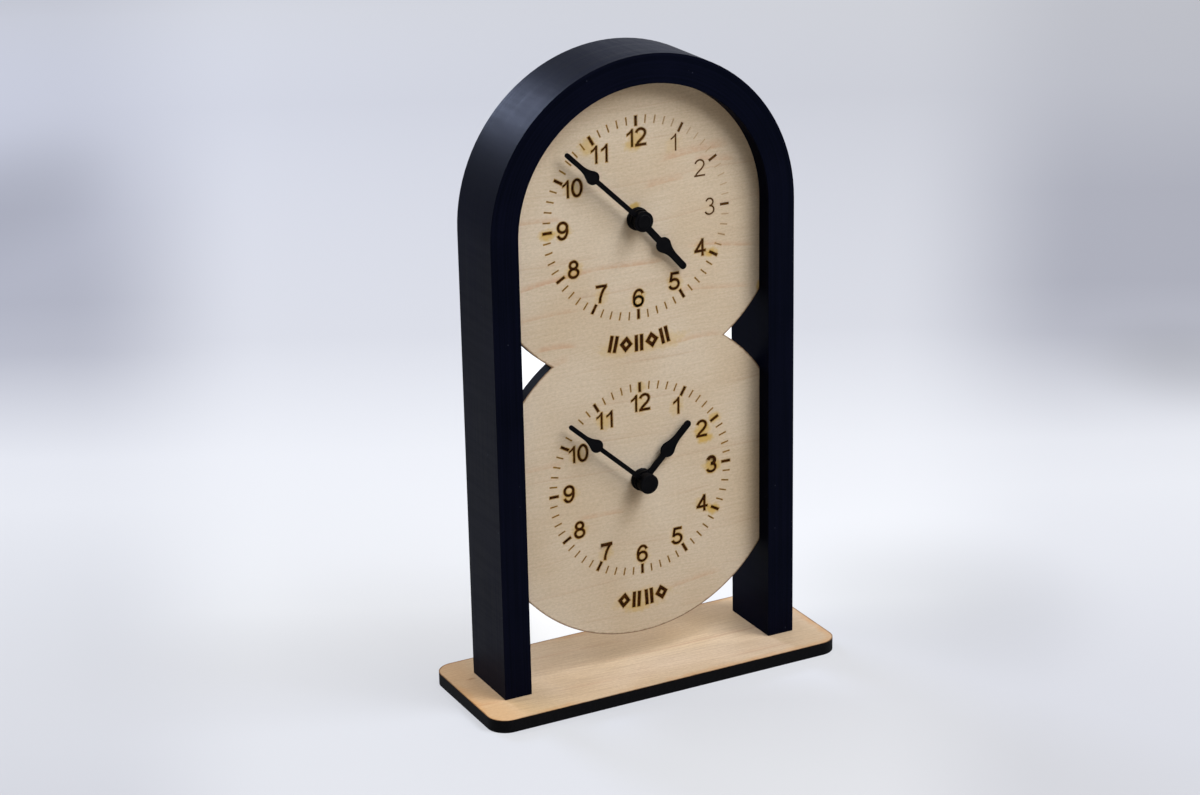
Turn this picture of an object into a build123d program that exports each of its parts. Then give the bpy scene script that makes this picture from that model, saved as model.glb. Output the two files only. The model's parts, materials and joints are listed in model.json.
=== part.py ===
from build123d import *
import math
import os
from collections import namedtuple

# World time clock: two quartz clocks on one plywood dial plate, held in an arch frame on a base.
# Millimetres. Seen from the front, X runs to the right, Y runs away from the viewer and Z is up.
# The origin is the middle of the base's underside.

# Fits
fit_gap = 0.02
running_gap = 0.05
free_gap = 0.3

# Base plate
base_width = 178.0
base_depth = 67.5
base_thickness = 6.0
base_corner_radius = 9.0

# Arch frame: two legs and a half ring, with a groove that holds the dial plate
frame_width = 150.0
frame_bar = 13.25
frame_depth = 33.5
frame_leg_length = 211.2
frame_setback = 2.35
groove_depth = 1.5
groove_edge_gap = 0.15
groove_face_gap = 0.1

# Dial plate: two joined discs
dial_disc_radius = 75.0
dial_thickness = 6.0
dial_recess = 8.35
dial_spacing = 122.3
shaft_hole_radius = 4.2

# Screws from below the base into the legs
screw_radius = 1.5
screw_head_radius = 3.2
screw_length = 18.0
screw_spacing = 18.0
screw_recess = 0.3
screw_hole_gap = 0.2
screw_tip_gap = 1.0

# Hands: each has a bulb, a taper that runs into a narrow tip, and a round hub
hour_hand_length = 34.0
hour_arm_width = 3.1
hour_bulb_radius = 3.55
hour_bulb_place = 17.7
hour_taper_end = 25.5
hour_tip_width = 3.2
hour_hub_radius = 4.8
hour_hub_thickness = 1.6
hour_blade_thickness = 0.8
hour_blade_offset = 0.2
minute_hand_length = 50.8
minute_arm_width = 2.15
minute_bulb_radius = 3.03
minute_bulb_place = 33.0
minute_taper_end = 41.0
minute_tip_width = 2.2
minute_hub_radius = 4.4
minute_hub_thickness = 1.8
minute_blade_thickness = 1.0
minute_blade_offset = 0.4
hub_gap = 0.4

# Caps on the ends of the minute arbors: a tall plain one and a low one with a raised middle
cap_radius = 4.6
tall_cap_height = 2.6
low_cap_height = 0.85
low_cap_step_height = 0.35
low_cap_step_radius = 3.3
cap_chamfer = 0.25

# Angles of the hands at rest, clockwise from twelve
lower_hour_angle = 45.0
lower_minute_angle = 312.0
upper_hour_angle = 138.8
upper_minute_angle = 314.0

# Centre fixing of a movement
bush_radius = 4.0
bush_flange_radius = 5.2
bush_flange_thickness = 0.6
nut_radius = 5.2
nut_thickness = 1.5
nut_chamfer = 0.25
washer_radius = 8.0
washer_thickness = 0.8

# Movement case, its battery bay and its back cover
case_size = 56.0
case_depth = 16.0
case_wall = 1.2
case_corner_radius = 2.0
cover_thickness = 1.3
cover_gap = 0.15
cover_lip_wall = 1.0
cover_lip_depth = 1.5
battery_radius = 7.1
battery_length = 49.4
battery_tip_radius = 2.7
battery_tip_length = 1.1
bay_gap = 0.1
contact_thickness = 0.4
contact_width = 8.0
contact_spring_end = 2.5

# Tubes and arbors
hour_tube_radius = 2.5
minute_tube_radius = 1.6
minute_flat_width = 2.4
minute_thread_radius = 1.2
minute_thread_length = 0.6
minute_seat_radius = 1.2
minute_lip_radius = 1.9
minute_lip_thickness = 0.3
seconds_arbor_radius = 0.5
arbor_radius = 0.4
post_radius = 0.5
stem_radius = 1.0
boss_radius = 1.4
stem_boss_radius = 2.2
knob_radius = 7.0
knob_thickness = 1.8
knob_notches = 24
knob_notch_depth = 0.6

# Teeth of the motion work and of the time train
cannon_teeth = 8
minute_wheel_teeth = 24
minute_pinion_teeth = 8
hour_wheel_teeth = 32
setting_teeth = 8
centre_wheel_teeth = 45
train_pinion_teeth = 6
third_wheel_teeth = 48
fourth_wheel_teeth = 36
fifth_wheel_teeth = 30

# Centre distances, and directions from one arbor to the next, counter-clockwise from the right
motion_distance = 7.5
third_distance = 8.5
fifth_distance = 8.4
rotor_distance = 6.0
minute_wheel_direction = 200.0
setting_direction = 170.0
third_direction = 30.0
fifth_direction = 120.0
rotor_direction = 90.0

# Tooth forms: tip height and root depth in modules, then half widths of tip and root in pitches
wheel_tooth_shares = (0.9, 1.1, 0.10, 0.30)
pinion_tooth_shares = (0.7, 1.2, 0.11, 0.20)

# Thicknesses and gaps through the depth of the movement
hour_wheel_thickness = 0.8
minute_wheel_thickness = 0.8
centre_wheel_thickness = 0.7
train_wheel_thickness = 0.6
motion_layer_gap = 0.7
train_layer_gap = 0.9
pinion_overhang = 0.2
spring_height = 0.8
spring_thickness = 0.2
spring_radius = 2.9
spring_seat_radius = 1.8
magnet_radius = 3.0
magnet_length = 1.9
magnet_bore_radius = 0.6
stator_thickness = 0.7
stator_gap = 0.4
stator_rim = 1.5
bridge_thickness = 1.0
bridge_margin = 2.2
bridge_post_width = 2.8
peg_radius = 0.8

# Places on the case floor, right and up from the shaft
bridge_post_places = ((-13.5, 9.0), (13.5, -5.5), (13.5, 14.0))

# Coil on its core, the stator's limbs, and the circuit board
coil_height = 22.0
coil_length = 18.0
coil_radius = 3.5
coil_flange = 0.8
coil_barrel_radius = 2.1
coil_sink = 0.2
core_width = 3.0
core_thickness = 0.7
limb_width = 3.2
limb_gap = 0.7
yoke_width = 4.0
yoke_lift = 1.3
limb_post_width = 2.4
board_left = 16.4
board_width = 9.8
board_bottom = -9.0
board_height = 27.0
board_thickness = 1.0
board_post_height = 1.8
board_post_width = 2.8
board_post_inset = 4.0
chip_radius = 3.0
chip_height = 0.9

# Heights and depths that follow
frame_radius = frame_width / 2
frame_inner = frame_radius - frame_bar
frame_front = frame_setback - frame_depth / 2
frame_back = frame_setback + frame_depth / 2
arch_height = base_thickness + frame_leg_length
upper_dial_height = arch_height
lower_dial_height = arch_height - dial_spacing
dial_front = frame_front + dial_recess
dial_back = dial_front + dial_thickness
leg_middle = frame_radius - frame_bar / 2

# In front of the dial
nut_front = dial_front - nut_thickness
hour_hub_back = nut_front - free_gap
hour_hub_front = hour_hub_back - hour_hub_thickness
minute_hub_back = hour_hub_front - hub_gap
minute_hub_front = minute_hub_back - minute_hub_thickness

# Behind the dial, from the front of the movement to the back
movement_front = dial_back + washer_thickness
case_floor = movement_front + case_wall
case_back = movement_front + case_depth
cover_front = case_back - cover_thickness
flange_back = case_floor + bush_flange_thickness
hour_wheel_front = flange_back + free_gap
hour_wheel_back = hour_wheel_front + hour_wheel_thickness
cannon_front = hour_wheel_back + free_gap
minute_wheel_front = hour_wheel_back + motion_layer_gap
minute_wheel_back = minute_wheel_front + minute_wheel_thickness
cannon_back = minute_wheel_back + free_gap
centre_wheel_front = cannon_back + spring_height
centre_wheel_back = centre_wheel_front + centre_wheel_thickness
lip_front = centre_wheel_back + running_gap
lip_back = lip_front + minute_lip_thickness
third_wheel_front = centre_wheel_back + train_layer_gap
third_wheel_back = third_wheel_front + train_wheel_thickness
fourth_wheel_front = third_wheel_back + train_layer_gap
fourth_wheel_back = fourth_wheel_front + train_wheel_thickness
fifth_wheel_front = fourth_wheel_back + train_layer_gap
fifth_wheel_back = fifth_wheel_front + train_wheel_thickness
bridge_front = fifth_wheel_back + train_layer_gap
bridge_back = bridge_front + bridge_thickness
boss_back = cannon_back - running_gap
arbor_front = case_floor + free_gap
arbor_back = bridge_back + free_gap
stator_back = fourth_wheel_front - stator_gap
stator_front = stator_back - stator_thickness
magnet_back = stator_front + (stator_thickness + magnet_length) / 2
magnet_front = magnet_back - magnet_length
knob_front = case_back + free_gap
knob_back = knob_front + knob_thickness

# Battery bay below, gear room above
inner_half = case_size / 2 - case_wall
bay_height = 2 * (battery_radius + bay_gap)
bay_bottom = -inner_half
bay_top = bay_bottom + bay_height
room_bottom = bay_top + case_wall
battery_height = bay_bottom + bay_height / 2
battery_depth = case_floor + free_gap + battery_radius
battery_right = inner_half - contact_thickness - fit_gap - battery_tip_length
battery_left = battery_right - battery_length

# Modules of the gear pairs
motion_module = 2 * motion_distance / (cannon_teeth + minute_wheel_teeth)
hour_module = 2 * motion_distance / (minute_pinion_teeth + hour_wheel_teeth)
centre_module = 2 * third_distance / (train_pinion_teeth + centre_wheel_teeth)
third_module = 2 * third_distance / (train_pinion_teeth + third_wheel_teeth)
fourth_module = 2 * fifth_distance / (train_pinion_teeth + fourth_wheel_teeth)
fifth_module = 2 * rotor_distance / (train_pinion_teeth + fifth_wheel_teeth)

Clock = namedtuple("Clock", "name height hour_angle minute_angle tall_cap")
clocks = (
    Clock("lower", lower_dial_height, lower_hour_angle, lower_minute_angle, True),
    Clock("upper", upper_dial_height, upper_hour_angle, upper_minute_angle, False),
)


def step_from(place, distance, direction):
    """Place that lies a distance away from another, in a direction counter-clockwise from X."""
    turn = math.radians(direction)
    return (place[0] + distance * math.cos(turn), place[1] + distance * math.sin(turn))


def phase_in_mesh(direction, teeth, phase, other_teeth):
    """Angle of a tooth on the other gear that puts it in mesh, in a direction from this gear."""
    turned = (direction - phase) * teeth / 360
    return direction + 180 - (0.5 - turned) * 360 / other_teeth


def facing(depth, place=(0, 0), turned=0.0):
    """Plane that faces the viewer at a depth, its origin at a place, turned clockwise."""
    turn = math.radians(turned)
    return Plane(
        origin=(place[0], depth, place[1]),
        x_dir=(math.cos(turn), 0, -math.sin(turn)),
        z_dir=(0, -1, 0),
    )


def disc(depth, place, radius, bore=0.0):
    """Disc or ring that faces the viewer."""
    with BuildSketch(facing(depth, place)) as outline:
        Circle(radius)
        if bore:
            Circle(bore, mode=Mode.SUBTRACT)
    return outline.sketch


def square(depth, place, width):
    """Square in an upright plane at a depth."""
    with BuildSketch(facing(depth, place)) as outline:
        Rectangle(width, width)
    return outline.sketch


def turned_section(place, start, steps, bore=0.0):
    """Half section of a turned piece: each step is a radius and the depth where it ends."""
    points = [(bore, start)]
    depth = start
    for radius, end in steps:
        points.append((radius, depth))
        points.append((radius, end))
        depth = end
    points.append((bore, depth))
    with BuildSketch(Plane(origin=(place[0], 0, place[1]), z_dir=(0, 0, 1))) as section:
        with BuildLine():
            Polyline(*points, close=True)
        make_face()
    return section.sketch


def shaft_axis(place):
    """Axis through a place, from the front to the back."""
    return Axis((place[0], 0, place[1]), (0, 1, 0))


def gear(depth, place, teeth, module, shares, phase, bore=0.0):
    """Outline of a toothed wheel with straight-sided teeth, seen from the front."""
    tip_share, root_share, tip_half_share, root_half_share = shares
    pitch = 2 * math.pi / teeth
    tip_radius = module * (teeth / 2 + tip_share)
    root_radius = module * (teeth / 2 - root_share)
    points = []
    for tooth in range(teeth):
        middle = math.radians(phase) + tooth * pitch
        for radius, offset in (
            (root_radius, -root_half_share),
            (tip_radius, -tip_half_share),
            (tip_radius, tip_half_share),
            (root_radius, root_half_share),
        ):
            angle = middle + offset * pitch
            points.append((radius * math.cos(angle), radius * math.sin(angle)))
    with BuildSketch(facing(depth, place)) as outline:
        with BuildLine():
            Polyline(*points, close=True)
        make_face()
        if bore:
            Circle(bore, mode=Mode.SUBTRACT)
    return outline.sketch


def arch_outline(depth, half_width, bottom):
    """Two straight sides from a height up to the arch, closed by a half circle."""
    with BuildSketch(facing(depth)) as outline:
        with Locations((0, arch_height)):
            Circle(half_width)
        with Locations((0, (bottom + arch_height) / 2)):
            Rectangle(2 * half_width, arch_height - bottom)
    return outline.sketch


def dial_outline(depth, disc_radius, half_width):
    """Two joined discs, cut to the width of the arch that holds them."""
    with BuildSketch(facing(depth)) as outline:
        with Locations((0, upper_dial_height), (0, lower_dial_height)):
            Circle(disc_radius)
        add(arch_outline(depth, half_width, base_thickness), mode=Mode.INTERSECT)
    return outline.sketch


def hand_outline(depth, height, angle, length, arm, bulb, bulb_place, taper_end, tip):
    """Blade of a hand: arm, round bulb, hollow taper tangent to bulb and tip, and round tip."""
    run = taper_end - bulb_place
    hollow = (run**2 + (tip / 2) ** 2 - bulb**2) / (2 * bulb - tip)
    sweep = math.degrees(math.atan2(run, tip / 2 + hollow))
    with BuildSketch(facing(depth, (0, height), angle)) as outline:
        with Locations((0, bulb_place / 2)):
            Rectangle(arm, bulb_place)
        with Locations((0, bulb_place)):
            Circle(bulb)
        with BuildLine():
            right = CenterArc((tip / 2 + hollow, taper_end), hollow, 180, sweep)
            left = mirror(right, about=Plane.YZ)
            Line(right @ 0, left @ 0)
            Line(right @ 1, left @ 1)
        make_face()
        with Locations((0, (taper_end + length - tip / 2) / 2)):
            Rectangle(tip, length - tip / 2 - taper_end)
        with Locations((0, length - tip / 2)):
            Circle(tip / 2)
    return outline.sketch


def save(piece, name):
    """Name a finished piece and write it."""
    piece.part.label = name
    export_step(piece.part, os.path.join("parts", name + ".step"))


def screw_places():
    """Middles of the four screws on the base: two below each leg."""
    return [
        (side * leg_middle, frame_setback + end * screw_spacing / 2)
        for side in (-1, 1)
        for end in (-1, 1)
    ]


def screw_section(place, gap, bottom, top):
    """Half section of a countersunk screw, or of its hole, widened by a gap."""
    head = screw_head_radius + gap
    shank = screw_radius + gap
    cone_top = screw_recess + screw_head_radius - screw_radius
    plane = Plane(origin=(place[0], place[1], 0), x_dir=(1, 0, 0), z_dir=(0, -1, 0))
    with BuildSketch(plane) as section:
        with BuildLine():
            points = [(0, bottom), (head, screw_recess), (shank, cone_top)]
            points += [(shank, top), (0, top)]
            if bottom < screw_recess:
                points.insert(1, (head, bottom))
            Polyline(*points, close=True)
        make_face()
    return section.sketch


def make_base_plate():
    with BuildPart() as base_plate:
        with BuildSketch():
            RectangleRounded(base_width, base_depth, base_corner_radius)
        extrude(amount=base_thickness)
        for place in screw_places():
            section = screw_section(place, screw_hole_gap, 0, base_thickness)
            axis = Axis((place[0], place[1], 0), (0, 0, 1))
            revolve(section, axis=axis, mode=Mode.SUBTRACT)
    save(base_plate, "base_plate")


def make_base_screws():
    with BuildPart() as base_screws:
        for place in screw_places():
            top = screw_recess + screw_length
            section = screw_section(place, 0, screw_recess, top)
            revolve(section, axis=Axis((place[0], place[1], 0), (0, 0, 1)))
    save(base_screws, "base_screws")


def make_arch_frame():
    bore_depth = screw_recess + screw_length - base_thickness + screw_tip_gap
    with BuildPart() as arch_frame:
        extrude(arch_outline(frame_back, frame_radius, base_thickness), amount=frame_depth)
        inside = arch_outline(frame_back, frame_inner, base_thickness)
        extrude(inside, amount=frame_depth, mode=Mode.SUBTRACT)
        groove = dial_outline(
            dial_back + groove_face_gap,
            dial_disc_radius + groove_edge_gap,
            frame_inner + groove_depth,
        )
        extrude(groove, amount=dial_thickness + 2 * groove_face_gap, mode=Mode.SUBTRACT)
        with BuildSketch(Plane.XY.offset(base_thickness)):
            with Locations(*screw_places()):
                Circle(screw_radius + fit_gap)
        extrude(amount=bore_depth, mode=Mode.SUBTRACT)
    save(arch_frame, "arch_frame")


def make_dial_plate():
    with BuildPart() as dial_plate:
        reach = frame_inner + groove_depth - groove_edge_gap
        extrude(dial_outline(dial_back, dial_disc_radius, reach), amount=dial_thickness)
        for clock in clocks:
            hole = disc(dial_back, (0, clock.height), shaft_hole_radius)
            extrude(hole, amount=dial_thickness, mode=Mode.SUBTRACT)
    save(dial_plate, "dial_plate")


def make_hands(clock):
    shaft = (0, clock.height)
    with BuildPart() as hour_hand:
        blade_back = hour_hub_back - hour_blade_offset
        blade = hand_outline(
            blade_back,
            clock.height,
            clock.hour_angle,
            hour_hand_length,
            hour_arm_width,
            hour_bulb_radius,
            hour_bulb_place,
            hour_taper_end,
            hour_tip_width,
        )
        extrude(blade, amount=hour_blade_thickness)
        extrude(disc(hour_hub_back, shaft, hour_hub_radius), amount=hour_hub_thickness)
        bore = disc(hour_hub_back, shaft, hour_tube_radius + fit_gap)
        extrude(bore, amount=hour_hub_thickness, mode=Mode.SUBTRACT)
    save(hour_hand, clock.name + "_hour_hand")

    with BuildPart() as minute_hand:
        blade_back = minute_hub_back - minute_blade_offset
        blade = hand_outline(
            blade_back,
            clock.height,
            clock.minute_angle,
            minute_hand_length,
            minute_arm_width,
            minute_bulb_radius,
            minute_bulb_place,
            minute_taper_end,
            minute_tip_width,
        )
        extrude(blade, amount=minute_blade_thickness)
        extrude(disc(minute_hub_back, shaft, minute_hub_radius), amount=minute_hub_thickness)
        bore = flatted_round(clock, minute_hub_back, fit_gap)
        extrude(bore, amount=minute_hub_thickness, mode=Mode.SUBTRACT)
    save(minute_hand, clock.name + "_minute_hand")


def flatted_round(clock, depth, gap):
    """Round with two flats in line with the minute hand, on the arbor and in the hand."""
    with BuildSketch(facing(depth, (0, clock.height), clock.minute_angle)) as outline:
        Circle(minute_tube_radius + gap)
        side = 2 * (minute_tube_radius + gap)
        Rectangle(minute_flat_width + 2 * gap, side, mode=Mode.INTERSECT)
    return outline.sketch


def make_hand_cap(clock):
    shaft = (0, clock.height)
    with BuildPart() as hand_cap:
        height = tall_cap_height if clock.tall_cap else low_cap_height
        front = minute_hub_front - height
        extrude(disc(minute_hub_front, shaft, cap_radius), amount=height)
        if not clock.tall_cap:
            step = disc(front, shaft, low_cap_step_radius)
            extrude(step, amount=low_cap_step_height)
        rims = hand_cap.edges().filter_by(GeomType.CIRCLE).group_by(Axis.Y)[0]
        chamfer(rims, cap_chamfer)
        bore = disc(minute_hub_front, shaft, minute_thread_radius + fit_gap)
        extrude(bore, amount=minute_thread_length + running_gap, mode=Mode.SUBTRACT)
    save(hand_cap, clock.name + "_hand_cap")


def make_centre_fixing(clock):
    shaft = (0, clock.height)
    with BuildPart() as threaded_bush:
        steps = [(bush_radius, case_floor), (bush_flange_radius, flange_back)]
        bore = hour_tube_radius + running_gap
        revolve(turned_section(shaft, nut_front, steps, bore), axis=shaft_axis(shaft))
    save(threaded_bush, clock.name + "_threaded_bush")

    with BuildPart() as mounting_nut:
        ring = disc(dial_front, shaft, nut_radius, bush_radius + fit_gap)
        extrude(ring, amount=nut_thickness)
        chamfer(mounting_nut.edges().group_by(Axis.Y)[0].sort_by(SortBy.RADIUS)[-1], nut_chamfer)
    save(mounting_nut, clock.name + "_mounting_nut")

    with BuildPart() as rubber_washer:
        ring = disc(movement_front, shaft, washer_radius, bush_radius + fit_gap)
        extrude(ring, amount=washer_thickness)
    save(rubber_washer, clock.name + "_rubber_washer")


def train_places(clock):
    """Middles of the arbors, seen from the front."""
    shaft = (0, clock.height)
    minute = step_from(shaft, motion_distance, minute_wheel_direction)
    setting = step_from(minute, motion_distance, setting_direction)
    third = step_from(shaft, third_distance, third_direction)
    fifth = step_from(shaft, fifth_distance, fifth_direction)
    rotor = step_from(fifth, rotor_distance, rotor_direction)
    return shaft, minute, setting, third, fifth, rotor


def notched_round():
    """Points of the knob's rim, which goes in and out in straight notches for the grip."""
    points = []
    for step in range(2 * knob_notches):
        radius = knob_radius - step % 2 * knob_notch_depth
        points.append(step_from((0, 0), radius, step * 180 / knob_notches))
    return points


def make_motion_work(clock):
    shaft, minute, setting, _, _, _ = train_places(clock)
    minute_phase = phase_in_mesh(minute_wheel_direction, cannon_teeth, 0, minute_wheel_teeth)
    setting_phase = phase_in_mesh(
        setting_direction, minute_wheel_teeth, minute_phase, setting_teeth
    )
    hour_phase = phase_in_mesh(
        minute_wheel_direction + 180, minute_pinion_teeth, 0, hour_wheel_teeth
    )

    with BuildPart() as hour_wheel:
        bore = minute_tube_radius + running_gap
        teeth = gear(
            hour_wheel_back,
            shaft,
            hour_wheel_teeth,
            hour_module,
            wheel_tooth_shares,
            hour_phase,
            bore,
        )
        extrude(teeth, amount=hour_wheel_thickness)
        tube = disc(hour_wheel_front, shaft, hour_tube_radius, bore)
        extrude(tube, amount=hour_wheel_front - hour_hub_front)
    save(hour_wheel, clock.name + "_hour_wheel")

    with BuildPart() as minute_arbor:
        steps = [(minute_thread_radius, minute_hub_front)]
        thread = turned_section(shaft, minute_hub_front - minute_thread_length, steps)
        revolve(thread, axis=shaft_axis(shaft))
        flats = flatted_round(clock, minute_hub_back, 0)
        extrude(flats, amount=minute_hub_thickness)
        tube = disc(cannon_front, shaft, minute_tube_radius)
        extrude(tube, amount=cannon_front - minute_hub_back)
        teeth = gear(cannon_back, shaft, cannon_teeth, motion_module, pinion_tooth_shares, 0)
        extrude(teeth, amount=cannon_back - cannon_front)
        steps = [(minute_seat_radius, lip_front), (minute_lip_radius, lip_back)]
        revolve(turned_section(shaft, cannon_back, steps), axis=shaft_axis(shaft))
        bore = disc(lip_back, shaft, seconds_arbor_radius + running_gap)
        length = lip_back - minute_hub_front + minute_thread_length
        extrude(bore, amount=length, mode=Mode.SUBTRACT)
    save(minute_arbor, clock.name + "_minute_arbor")

    with BuildPart() as minute_wheel:
        teeth = gear(
            minute_wheel_back,
            minute,
            minute_wheel_teeth,
            motion_module,
            wheel_tooth_shares,
            minute_phase,
        )
        extrude(teeth, amount=minute_wheel_thickness)
        pinion_front = hour_wheel_front - pinion_overhang
        teeth = gear(
            minute_wheel_front, minute, minute_pinion_teeth, hour_module, pinion_tooth_shares, 0
        )
        extrude(teeth, amount=minute_wheel_front - pinion_front)
        bore = disc(minute_wheel_back, minute, post_radius + running_gap)
        extrude(bore, amount=minute_wheel_back - pinion_front, mode=Mode.SUBTRACT)
    save(minute_wheel, clock.name + "_minute_wheel")

    with BuildPart() as setting_knob:
        front = minute_wheel_front - pinion_overhang
        back = minute_wheel_back + pinion_overhang
        steps = [(stem_radius, knob_front)]
        revolve(turned_section(setting, arbor_front, steps), axis=shaft_axis(setting))
        teeth = gear(
            back, setting, setting_teeth, motion_module, pinion_tooth_shares, setting_phase
        )
        extrude(teeth, amount=back - front)
        with BuildSketch(facing(knob_back, setting)):
            with BuildLine():
                Polyline(*notched_round(), close=True)
            make_face()
        extrude(amount=knob_thickness)
    save(setting_knob, clock.name + "_setting_knob")


def make_arbored_wheel(name, place, ends, radius, wheel, pinion):
    """Wheel and pinion on one arbor; each gear is its front, back, teeth, module and phase."""
    with BuildPart() as arbored_wheel:
        section = turned_section(place, ends[0], [(radius, ends[1])])
        revolve(section, axis=shaft_axis(place))
        for shares, (front, back, teeth, module, phase) in (
            (wheel_tooth_shares, wheel),
            (pinion_tooth_shares, pinion),
        ):
            outline = gear(back, place, teeth, module, shares, phase)
            extrude(outline, amount=back - front)
    save(arbored_wheel, name)


def make_time_train(clock):
    shaft, _, _, third, fifth, rotor = train_places(clock)
    pinion = train_pinion_teeth
    centre_phase = phase_in_mesh(third_direction + 180, pinion, 0, centre_wheel_teeth)
    third_phase = phase_in_mesh(third_direction, pinion, 0, third_wheel_teeth)
    fourth_phase = phase_in_mesh(fifth_direction + 180, pinion, 0, fourth_wheel_teeth)
    fifth_phase = phase_in_mesh(rotor_direction + 180, pinion, 0, fifth_wheel_teeth)

    with BuildPart() as centre_wheel:
        teeth = gear(
            centre_wheel_back,
            shaft,
            centre_wheel_teeth,
            centre_module,
            wheel_tooth_shares,
            centre_phase,
            minute_seat_radius + running_gap,
        )
        extrude(teeth, amount=centre_wheel_thickness)
    save(centre_wheel, clock.name + "_centre_wheel")

    with BuildPart() as friction_spring:
        inner = minute_seat_radius + fit_gap
        spring_back = centre_wheel_front - running_gap
        points = [
            (inner, cannon_back),
            (spring_seat_radius, cannon_back),
            (spring_radius, spring_back - spring_thickness),
            (spring_radius, spring_back),
            (spring_seat_radius, cannon_back + spring_thickness),
            (inner, cannon_back + spring_thickness),
        ]
        with BuildSketch(Plane(origin=(shaft[0], 0, shaft[1]), z_dir=(0, 0, 1))):
            with BuildLine():
                Polyline(*points, close=True)
            make_face()
        revolve(axis=shaft_axis(shaft))
    save(friction_spring, clock.name + "_friction_spring")

    make_arbored_wheel(
        clock.name + "_third_wheel",
        third,
        (arbor_front, arbor_back),
        arbor_radius,
        (third_wheel_front, third_wheel_back, third_wheel_teeth, third_module, third_phase),
        (centre_wheel_front - pinion_overhang, third_wheel_front, pinion, centre_module, 0),
    )
    make_arbored_wheel(
        clock.name + "_fourth_wheel",
        shaft,
        (hour_hub_front, arbor_back),
        seconds_arbor_radius,
        (fourth_wheel_front, fourth_wheel_back, fourth_wheel_teeth, fourth_module, fourth_phase),
        (third_wheel_front - pinion_overhang, fourth_wheel_front, pinion, third_module, 0),
    )
    make_arbored_wheel(
        clock.name + "_fifth_wheel",
        fifth,
        (arbor_front, arbor_back),
        arbor_radius,
        (fifth_wheel_front, fifth_wheel_back, fifth_wheel_teeth, fifth_module, fifth_phase),
        (fourth_wheel_front - pinion_overhang, fifth_wheel_front, pinion, fourth_module, 0),
    )

    with BuildPart() as rotor_pinion:
        steps = [
            (arbor_radius, magnet_front - free_gap),
            (magnet_bore_radius, fifth_wheel_front),
            (arbor_radius, arbor_back),
        ]
        revolve(turned_section(rotor, arbor_front, steps), axis=shaft_axis(rotor))
        front = fifth_wheel_front - pinion_overhang
        back = fifth_wheel_back + pinion_overhang
        teeth = gear(back, rotor, pinion, fifth_module, pinion_tooth_shares, 0)
        extrude(teeth, amount=back - front)
    save(rotor_pinion, clock.name + "_rotor_pinion")

    with BuildPart() as rotor_magnet:
        ring = disc(magnet_back, rotor, magnet_radius, magnet_bore_radius + fit_gap)
        extrude(ring, amount=magnet_length)
    save(rotor_magnet, clock.name + "_rotor_magnet")


def stator_parts(clock):
    """Middle of the coil and of the two limbs beside it."""
    rotor = train_places(clock)[-1]
    coil = (rotor[0], clock.height + coil_height)
    reach = coil_length / 2 + limb_gap + limb_width / 2
    return coil, (coil[0] - reach, coil[0] + reach)


def make_motor(clock):
    rotor = train_places(clock)[-1]
    coil, limbs = stator_parts(clock)
    span = limbs[1] - limbs[0] + limb_width
    limb_top = coil[1] + core_width / 2
    yoke_bottom = rotor[1] + yoke_lift - yoke_width / 2
    core_back = stator_back + core_thickness
    barrel_axis = Plane(
        origin=(coil[0] - coil_length / 2, stator_back + core_thickness / 2, coil[1]),
        x_dir=(0, 1, 0),
        z_dir=(1, 0, 0),
    )

    with BuildPart() as stator:
        with BuildSketch(facing(stator_back)):
            with Locations(rotor):
                Circle(magnet_radius + stator_gap + stator_rim)
            with Locations((coil[0], yoke_bottom + yoke_width / 2)):
                Rectangle(span, yoke_width)
            for limb in limbs:
                with Locations((limb, (yoke_bottom + limb_top) / 2)):
                    Rectangle(limb_width, limb_top - yoke_bottom)
            with Locations(rotor):
                Circle(magnet_radius + stator_gap, mode=Mode.SUBTRACT)
        extrude(amount=stator_thickness)
        with BuildSketch(facing(core_back, coil)):
            Rectangle(span, core_width)
        extrude(amount=core_thickness)
    save(stator, clock.name + "_stator")

    with BuildPart() as coil_bobbin:
        with BuildSketch(barrel_axis):
            Circle(coil_barrel_radius)
        extrude(amount=coil_length)
        for start in (0, coil_length - coil_flange):
            with BuildSketch(barrel_axis.offset(start)):
                Circle(coil_radius)
            extrude(amount=coil_flange)
        with BuildSketch(barrel_axis):
            Rectangle(core_thickness + 2 * fit_gap, core_width + 2 * fit_gap)
        extrude(amount=coil_length, mode=Mode.SUBTRACT)
    save(coil_bobbin, clock.name + "_coil_bobbin")

    with BuildPart() as coil_winding:
        with BuildSketch(barrel_axis.offset(coil_flange + fit_gap)):
            Circle(coil_radius - coil_sink)
            Circle(coil_barrel_radius + fit_gap, mode=Mode.SUBTRACT)
        extrude(amount=coil_length - 2 * (coil_flange + fit_gap))
    save(coil_winding, clock.name + "_coil_winding")


def board_middle(clock):
    """Middle of the circuit board beside the gears."""
    return (board_left + board_width / 2, clock.height + board_bottom + board_height / 2)


def make_circuit_board(clock):
    place = board_middle(clock)
    front = case_floor + board_post_height
    with BuildPart() as circuit_board:
        with BuildSketch(facing(front + board_thickness, place)):
            Rectangle(board_width, board_height)
        extrude(amount=board_thickness)
        chip = disc(front + board_thickness + chip_height, place, chip_radius)
        extrude(chip, amount=chip_height)
    save(circuit_board, clock.name + "_circuit_board")


def bridge_places(clock):
    """Middles of the posts that carry the train bridge."""
    return [(x, clock.height + z) for x, z in bridge_post_places]


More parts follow.
